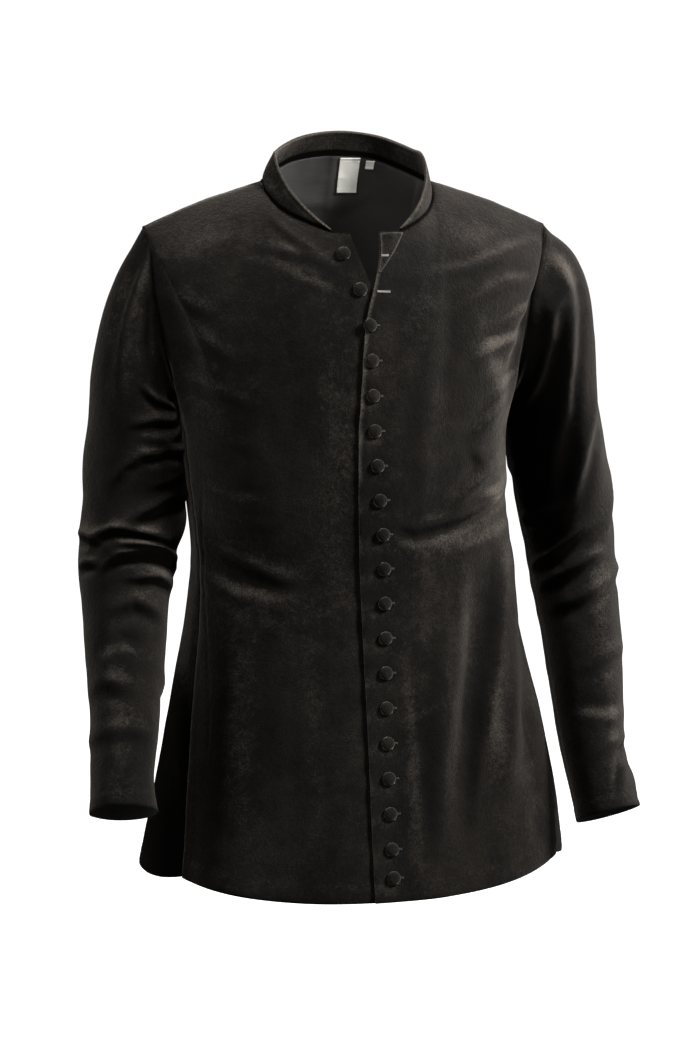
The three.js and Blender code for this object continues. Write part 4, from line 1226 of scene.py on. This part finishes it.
# rubbed is a table of patches of painted light and shade
def make_sleeve(name, table, rubbed, seed):
    grid = fine[name]
    rows, columns = grid.shape[:2]
    degrees = np.linspace(0, 360, columns)[None, :] * np.ones((rows, 1))
    round_mm = degrees * SLEEVE_MM_PER_DEGREE
    z = grid[..., 2] / MM
    level = (z + z.mean(axis=1, keepdims=True)) / 2
    folds = creased(table, round_mm, level, 2.1, GIRTH)
    folds += 0.7 * ripple(grid, 60, seed) + 0.35 * ripple(grid, 20, seed + 1)
    from_top, from_cuff = distance_to(grid, grid[0]), distance_to(grid, grid[-1])
    from_under = distance_to(grid, grid[:, columns // 2])
    lift = folds * ease(from_top, 0, 14) * ease(from_cuff, 0, 16)
    lift += seam_groove(from_top) + pucker(grid, from_top, seed + 2, 0.6, 16)
    lift += seam_groove(from_under, 0.9, 2.2) + pucker(grid, from_under, seed + 3, 0.3, 9)
    lift += turned_edge(from_cuff, CUFF_DEEP)
    if name == "sleeve_right":
        above_elbow = ease(-z, 225, 290) * (1 - ease(-z, 385, 430))
        lift += INNER_FULLNESS * bell(degrees - 140, 45) * above_elbow
    cloth = lifted(grid, lift, True)
    if name == "sleeve_right":
        across = np.clip((cloth[..., 0] / MM - CUFF_OUTSIDE) / CUFF_ACROSS, 0, 1)
        cloth[..., 2] += (CUFF_RISE - CUFF_DROP * across) * MM * (1 - ease(from_cuff, 0, 50))
    sides = (name.replace("sleeve", "front"), "back")
    cloth = sewn(cloth, cloth[0], np.concatenate([dense(made[side][0], 4) for side in sides]))
    cloth[:, -1] = cloth[:, 0]
    made[name] = cloth
    # painted light and shade from the creases turned to the key light, and from the patches
    painted_light = 0.65 * crease_shading(grid, cloth, True) + painted_light_patches(rubbed, round_mm, z, GIRTH)
    # painted shade along the armhole seam
    make_up(name, painted_light - 0.18 * bell(from_top, 2.5), ["top"], True)


make_sleeve("sleeve_left", SLEEVE_LEFT_CREASES, SLEEVE_LEFT_PAINTED_LIGHT, 31)
make_sleeve("sleeve_right", SLEEVE_RIGHT_CREASES, SLEEVE_RIGHT_PAINTED_LIGHT, 41)

# %% [markdown]
# ## The collar
# The stand collar is two layers of velvet over a stiffener, so it bends smoothly and hardly creases. Its
# top edge is a fold, a little fuller than the rest and given a painted highlight, its foot sinks into
# the neck seam under painted shade, and it runs out to nothing before the front corners.

# %% The collar
grid = fine["collar"]
from_top, from_foot = distance_to(grid, grid[0]), distance_to(grid, grid[-1])
lift = 0.5 * ripple(grid, 30, 51) + 0.25 * ripple(grid, 12, 52)
lift += seam_groove(from_foot, 1.2, 2.5) + turned_edge(from_top, 5, 0.3)
cloth = lifted(grid, lift)
neck = np.concatenate([dense(made[side][0], 4) for side in BODY_PANELS])
cloth = sewn(cloth, cloth[-1], neck)
# painted light and shade: from the creases, a slight overall lift, a painted highlight on the top fold
# and painted shade at the foot
painted_light = crease_shading(grid, cloth) + 0.05 + 0.1 * bell(from_top, 4) - 0.35 * bell(from_foot, 2.5)
cloth, painted_light = tucked(cloth, painted_light, ["bottom"], out=2.2, down=0.2)
shell("collar_cloth", "collar", cloth, COLLAR_CLOTH, [velvet_cloth], outward(cloth), painted_light)
print("collar points:", cloth.shape[0] * cloth.shape[1])

# %% [markdown]
# ## The turned corner
# The over front's top corner is folded outward like a tiny lapel, so the inside of its facing shows. Its
# outer side is the sheet of its solid that lies furthest forward. Its edges get a painted highlight.

# %% The turned corner
corner = walk(*wall_sheet("front_left_corner", CLOTH, foremost), 5, lambda p: p.z + 0.5 * p.x)
corner = finer(corner, 8, 8)
way = outward(corner)
lift = 0.35 * ripple(corner, 14, 61) + turned_edge(distance_to(corner, corner[:, -1]), 3, 0.3)
corner = lifted(corner, lift)
border = np.concatenate([corner[0], corner[:, -1], corner[-1], corner[:, 0]])
# a painted highlight along all four edges, on a slight overall lift
painted_light = 0.03 + 0.22 * bell(distance_to(corner, border), 1.8)
shell("front_left_corner_cloth", "front_left_corner", corner, CLOTH, [velvet_cloth], way, painted_light)
print("corner points:", corner.shape[0] * corner.shape[1])

# %% [markdown]
# ## The neck lining
# The lining shows only in the back of the neck: it has a seam down its middle and a soft pleat beside
# it. The velvet back was raised and creased after its solid, so the lining could come through it. Each
# place of it is therefore pushed inward until it lies deep enough inside the back's outer side.


# %% Surfaces to search
def surface(grid):
    """A search tree of a grid's faces."""
    rows, columns = grid.shape[:2]
    starts = [j * columns + i for j in range(rows - 1) for i in range(columns - 1)]
    quads = [(k, k + 1, k + 1 + columns, k + columns) for k in starts]
    return BVHTree.FromPolygons([Vector(p) for p in grid.reshape(-1, 3)], quads)


def forward(grid):
    """Each point's direction on the side that is seen from the front."""
    way = outward(grid)
    return way * -np.sign(way[..., 1].mean())


# %% The neck lining
LINING_CLOTH = 0.9 * MM
LINING_DEEP = 3.6 * MM  # how far inside the back's outer side the lining shows
LINING_SEAM, SEAM_ROW = 21 * MM, 20  # the seam's x, and the row in which it is looked for
# half width, height, then x and z of each point of the line
LINING_CREASES = [
    (5, 2.6, 47, 30, 49, -10, 47, -70),
    (4, 0.9, -60, 10, -20, 4, 10, 8, 60, 2),
    (5, 1.5, -52, 18, -40, -8, -18, -34),
    (4, 1.2, -74, 2, -54, -20, -34, -36),
    (4, 1.3, 66, 8, 60, -14, 54, -40),
    (4, 1.0, 4, -18, 10, -52),
]
lining = walk(*wall_sheet("back_lining", LINING_CLOTH, foremost), 13, lambda p: p.z - 0.3 * p.x)
lining = finer(neck_raised(lining), 10, 8)
inward = forward(lining)
seam_column = np.argmin(abs(lining[SEAM_ROW, :, 0] - LINING_SEAM))
lift = creased(LINING_CREASES, *body_places(lining)) + 0.5 * ripple(lining, 26, 63)
lift += seam_groove(distance_to(lining, lining[:, seam_column]), 1.0, 1.4)
lining = lining + inward * lift[..., None] * MM
back_tree = surface(made["back"])
for place in lining.reshape(-1, 3):
    near, way, _, _ = back_tree.find_nearest(Vector(place))
    if way.dot(near - Vector((0, 0, near.z - 100 * MM))) < 0:
        way = -way
    too_far = (Vector(place) - near).dot(way) + LINING_DEEP
    if too_far > 0:
        place -= np.array(way) * too_far
shell("neck_lining", "back_lining", lining, LINING_CLOTH, [lining_cloth], inward)
print("lining points:", lining.shape[0] * lining.shape[1])

# %% [markdown]
# ## The labels
# Both labels are blank strips of cream woven tape with folded ends. They follow the lining, their lower
# ends stand off a little, and short stitches hold the upper and lower ends down.

# %% The labels
LABEL_CLOTH = 0.8 * MM
LABEL_SHIFT = 7 * MM  # toward the wearer's left
LABEL_OFF_LINING = 0.4 * MM
lining_tree = surface(lining)


def lining_depth(x, z):
    """How far back the lining lies at a place."""
    place = lining_tree.ray_cast(Vector((x, 0, z)), Vector((0, 1, 0)))[0]
    return (place or lining_tree.find_nearest(Vector((x, 0.06, z)))[0]).y


def make_label(node, stands_off, seed):
    grid = neck_raised(walk(*wall_sheet(node, LABEL_CLOTH, foremost), 4, lambda p: p.z - 0.3 * p.x))
    grid = finer(grid, 8, 10)
    for place in grid.reshape(-1, 3):
        place[0] += LABEL_SHIFT
        place[1] = lining_depth(place[0], place[2]) - LABEL_CLOTH - LABEL_OFF_LINING
    way = forward(grid)
    down = np.linspace(0, 1, grid.shape[0])[:, None]
    ends = np.minimum(down, 1 - down) * along(grid, 0)[-1, 0] / MM
    lift = 0.2 * ripple(grid, 12, seed) + stands_off * down**3 + 0.25 * (1 - ease(ends, 2.0, 2.8))
    cloth = grid + way * lift[..., None] * MM
    shell(node + "_tape", node, cloth, LABEL_CLOTH, [label_tape], way)
    return cloth, way


# %% The label stitches
STITCH_LONG, STITCH_THICK = 1.5 * MM, 0.34 * MM


def add_stitch(bm, middle, run, up):
    """A short thread that dives in at both ends: a stretched ball."""
    run, up = run.normalized(), up.normalized()
    side = up.cross(run)
    for vert in bmesh.ops.create_icosphere(bm, subdivisions=2, radius=1)["verts"]:
        a, b, c = vert.co
        vert.co = middle + run * (a * STITCH_LONG / 2) + (side * b + up * c) * (STITCH_THICK / 2)


bm = bmesh.new()
for node, stands_off, seed in (("label", 0.9, 71), ("size_tab", 0.6, 72)):
    cloth, way = make_label(node, stands_off, seed)
    for row in (3, cloth.shape[0] - 5):
        line = dense(cloth[row], 2)
        facing = Vector(way[row, 0])
        for a, b in zip(line[1:-1:4], line[3::4]):
            add_stitch(bm, Vector((a + b) / 2) + facing * 0.1 * MM, Vector(b - a), facing)
stitches = finish_mesh("label_stitches", bm, [label_tape])
print("stitches:", len(stitches.data.polygons), "faces")

# %% [markdown]
# ## Covered buttons
# A covered button is a shallow metal dome with a round of velvet gathered over it. The dome starts as a
# ball, flattened below and lowered above. The gathers show as small pleats round the rim, and the pile
# makes the top a little uneven. Each one stands where its solid stands, and replaces it.

# %% The buttons
BUTTON_RADIUS, BUTTON_DOME, BUTTON_FOOT = 7.7 * MM, 3.9 * MM, 1.5 * MM
PLEATS = 11


def make_button(node, seed):
    middle, way = (Vector(v) for v in button_places[node])
    across = way.orthogonal().normalized()
    beside = way.cross(across)
    foot = middle + way * BUTTON_FOOT
    bm = bmesh.new()
    bmesh.ops.create_uvsphere(bm, u_segments=44, v_segments=22, radius=1)
    for vert in bm.verts:
        a, b, c = vert.co
        turn = math.atan2(b, a)
        rim = bell(c, 0.34)
        wobble = noise.noise(Vector((a * 1.4, b * 1.4, seed * 2.7)))
        pleat = math.sin(PLEATS * turn + 3 * wobble + seed) * rim * (0.5 + 0.5 * wobble)
        wide = BUTTON_RADIUS * (1 + 0.022 * pleat + 0.02 * wobble)
        high = (BUTTON_DOME if c > 0 else BUTTON_FOOT) * (1 + 0.07 * wobble)
        vert.co = foot + (across * a + beside * b) * wide + way * (c * high)
    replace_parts(finish_mesh(node + "_covered", bm, [button_velvet]), node)


for k, node in enumerate(BUTTONS):
    make_button(node, k + 1)
print("buttons:", len(BUTTONS))

# %% [markdown]
# ## Buttonholes
# Each buttonhole is worked in a dark twist: two ridges of close stitches with the slit between them and
# a bar across each end. The fastened ones show only as tails beside their buttons, because a closed
# front pulls each button to the end of its hole. The two undone ones show whole, one of them in the
# turned corner. Each is a small patch of cloth whose points stand on the front's own surface.

# %% How a buttonhole is worked
HOLE_WIDE, HOLE_RIDGE, HOLE_SUNK = 2.8 * MM, 0.5 * MM, 0.25 * MM
STITCH_PITCH = 0.9 * MM


def from_front(tree, x, z):
    """The place and direction of the surface where it is met from the front."""
    place, way, _, _ = tree.ray_cast(Vector((x, -1.0, z)), Vector((0, 1, 0)))
    if place is None:
        place, way, _, _ = tree.find_nearest(Vector((x, -0.12, z)))
    return place, (way if way.y < 0 else -way)


def work_buttonhole(bm, tree, start, end, z, tilt=0.0):
    """A worked slit from start to end, in x."""
    for vert in bmesh.ops.create_grid(bm, x_segments=34, y_segments=14, size=1)["verts"]:
        a, b = vert.co.x, vert.co.y
        x = (start + end) / 2 + a * (end - start) / 2
        place, way = from_front(tree, x, z + b * HOLE_WIDE / 2 + a * tilt)
        ridge = bell(abs(b) - 0.42, 0.27)
        bar = bell(abs(a) - 0.9, 0.06) * (1 - b**6)
        edge = 1 - min(1, max(0, (abs(b) - 0.72) / 0.28)) ** 1.5
        edge *= 1 - min(1, max(0, (abs(a) - 0.93) / 0.07))
        stitch = 0.9 + 0.1 * math.sin(2 * math.pi * x / STITCH_PITCH)
        vert.co = place + way * (HOLE_RIDGE * max(ridge, bar) * stitch * edge - HOLE_SUNK * (1 - edge))


def finish_holes(name, bm, material):
    bmesh.ops.recalc_face_normals(bm, faces=bm.faces)
    piece = finish_mesh(name, bm, [material])
    if sum(f.normal.y for f in piece.data.polygons) > 0:
        piece.data.flip_normals()
    print(name, "faces:", len(piece.data.polygons))


# %% The buttonholes
HOLE_BEFORE, HOLE_BEHIND = 3 * MM, 12 * MM  # how far a fastened hole runs from its button's middle
SECOND_HOLE = -115 * MM  # its height
HOLE_EASE, OPEN_HOLE = 4 * MM, 16 * MM  # where the undone hole starts behind the edge, and its length
CORNER_HOLE = (11.5 * MM, 20.5 * MM, -75.5 * MM)  # from x, to x, height
front_tree = surface(made["front_left"])
bm = bmesh.new()
for node in BUTTONS[2:]:
    x, _, z = button_places[node][0]
    work_buttonhole(bm, front_tree, x - HOLE_BEFORE, x + HOLE_BEHIND, z, -0.25 * MM)
finish_holes("buttonholes", bm, thread)
bm = bmesh.new()
edge = made["front_left"][:, 0]
start = edge[np.argmin(abs(edge[:, 2] - SECOND_HOLE)), 0] + HOLE_EASE
work_buttonhole(bm, front_tree, start, start + OPEN_HOLE, SECOND_HOLE, -0.4 * MM)
work_buttonhole(bm, surface(corner), *CORNER_HOLE)
# the undone holes are worked in the thread with painted sheen
finish_holes("open_buttonholes", bm, sheen_thread)

# %% [markdown]
# ## Light and floor
# One large soft light stands in front on the wearer's left and makes the folds. A weaker one fills the
# other side, a small one looks into the neck, and two more graze the cloth from behind, because velvet
# shows its form at its edges. The floor lies far below, at the feet of the wearer.

# %% The floor
FLOOR_SIZE, FLOOR_LEVEL = 14, -1.47
WHITE = (1, 1, 1, 1)
scene = bpy.context.scene
scene.view_settings.view_transform = "Standard"
bm = bmesh.new()
bmesh.ops.create_grid(bm, x_segments=1, y_segments=1, size=FLOOR_SIZE)
bmesh.ops.translate(bm, verts=bm.verts, vec=(0, 0, FLOOR_LEVEL))
floor_mesh = bpy.data.meshes.new("floor")
bm.to_mesh(floor_mesh)
bm.free()
floor = placed("floor", floor_mesh)
pale = Nodes("pale floor").finish(
    Base_Color=(0.95, 0.95, 0.95, 1), Roughness=0.9, Emission_Color=WHITE, Emission_Strength=1.0
)
floor_mesh.materials.append(pale)
floor.visible_diffuse = False
floor.visible_glossy = False
print("floor at", FLOOR_LEVEL)

# %% The world
WORLD_LIGHT, WORLD_SEEN = 0.12, 1.05  # how bright the world is as light, and as background
world = bpy.data.worlds.new("studio")
scene.world = world
world.use_nodes = True
tree = world.node_tree
seen = tree.nodes.new("ShaderNodeLightPath")
seen_white = tree.nodes.new("ShaderNodeMapRange")
seen_white.inputs["To Min"].default_value = WORLD_LIGHT
seen_white.inputs["To Max"].default_value = WORLD_SEEN
tree.links.new(seen.outputs["Is Camera Ray"], seen_white.inputs["Value"])
tree.nodes["Background"].inputs["Color"].default_value = WHITE
tree.links.new(seen_white.outputs[0], tree.nodes["Background"].inputs["Strength"])
print("world:", world.name)

# %% Lights
# place, aim, size in metres and watts
LIGHTS = {
    "key": ((2.1, -1.4, 1.5), (0, 0, -0.35), 0.8, 205),
    "fill": ((-2.0, -2.2, 0.9), (0, 0, -0.4), 1.2, 20),
    "neck": ((-0.4, -0.95, 0.8), (0.02, 0.06, 0), 0.4, 3.5),
    "left edge": ((2.2, 0.5, 0.2), (0.1, 0, -0.35), 0.9, 42),
    "right edge": ((-2.3, 0.1, 0.6), (-0.1, 0, -0.35), 0.9, 20),
}
for name, (place, aim, size, watts) in LIGHTS.items():
    data = bpy.data.lights.new(name, "AREA")
    data.shape = "DISK"
    data.size = size
    data.energy = watts
    light = placed(name, data, place, Vector(aim) - Vector(place))
    light.visible_camera = False
print("lights:", len(LIGHTS))

# %% [markdown]
# ## The pieces
# The number of pieces made is printed.

# %% The pieces
print("pieces:", len(pieces))
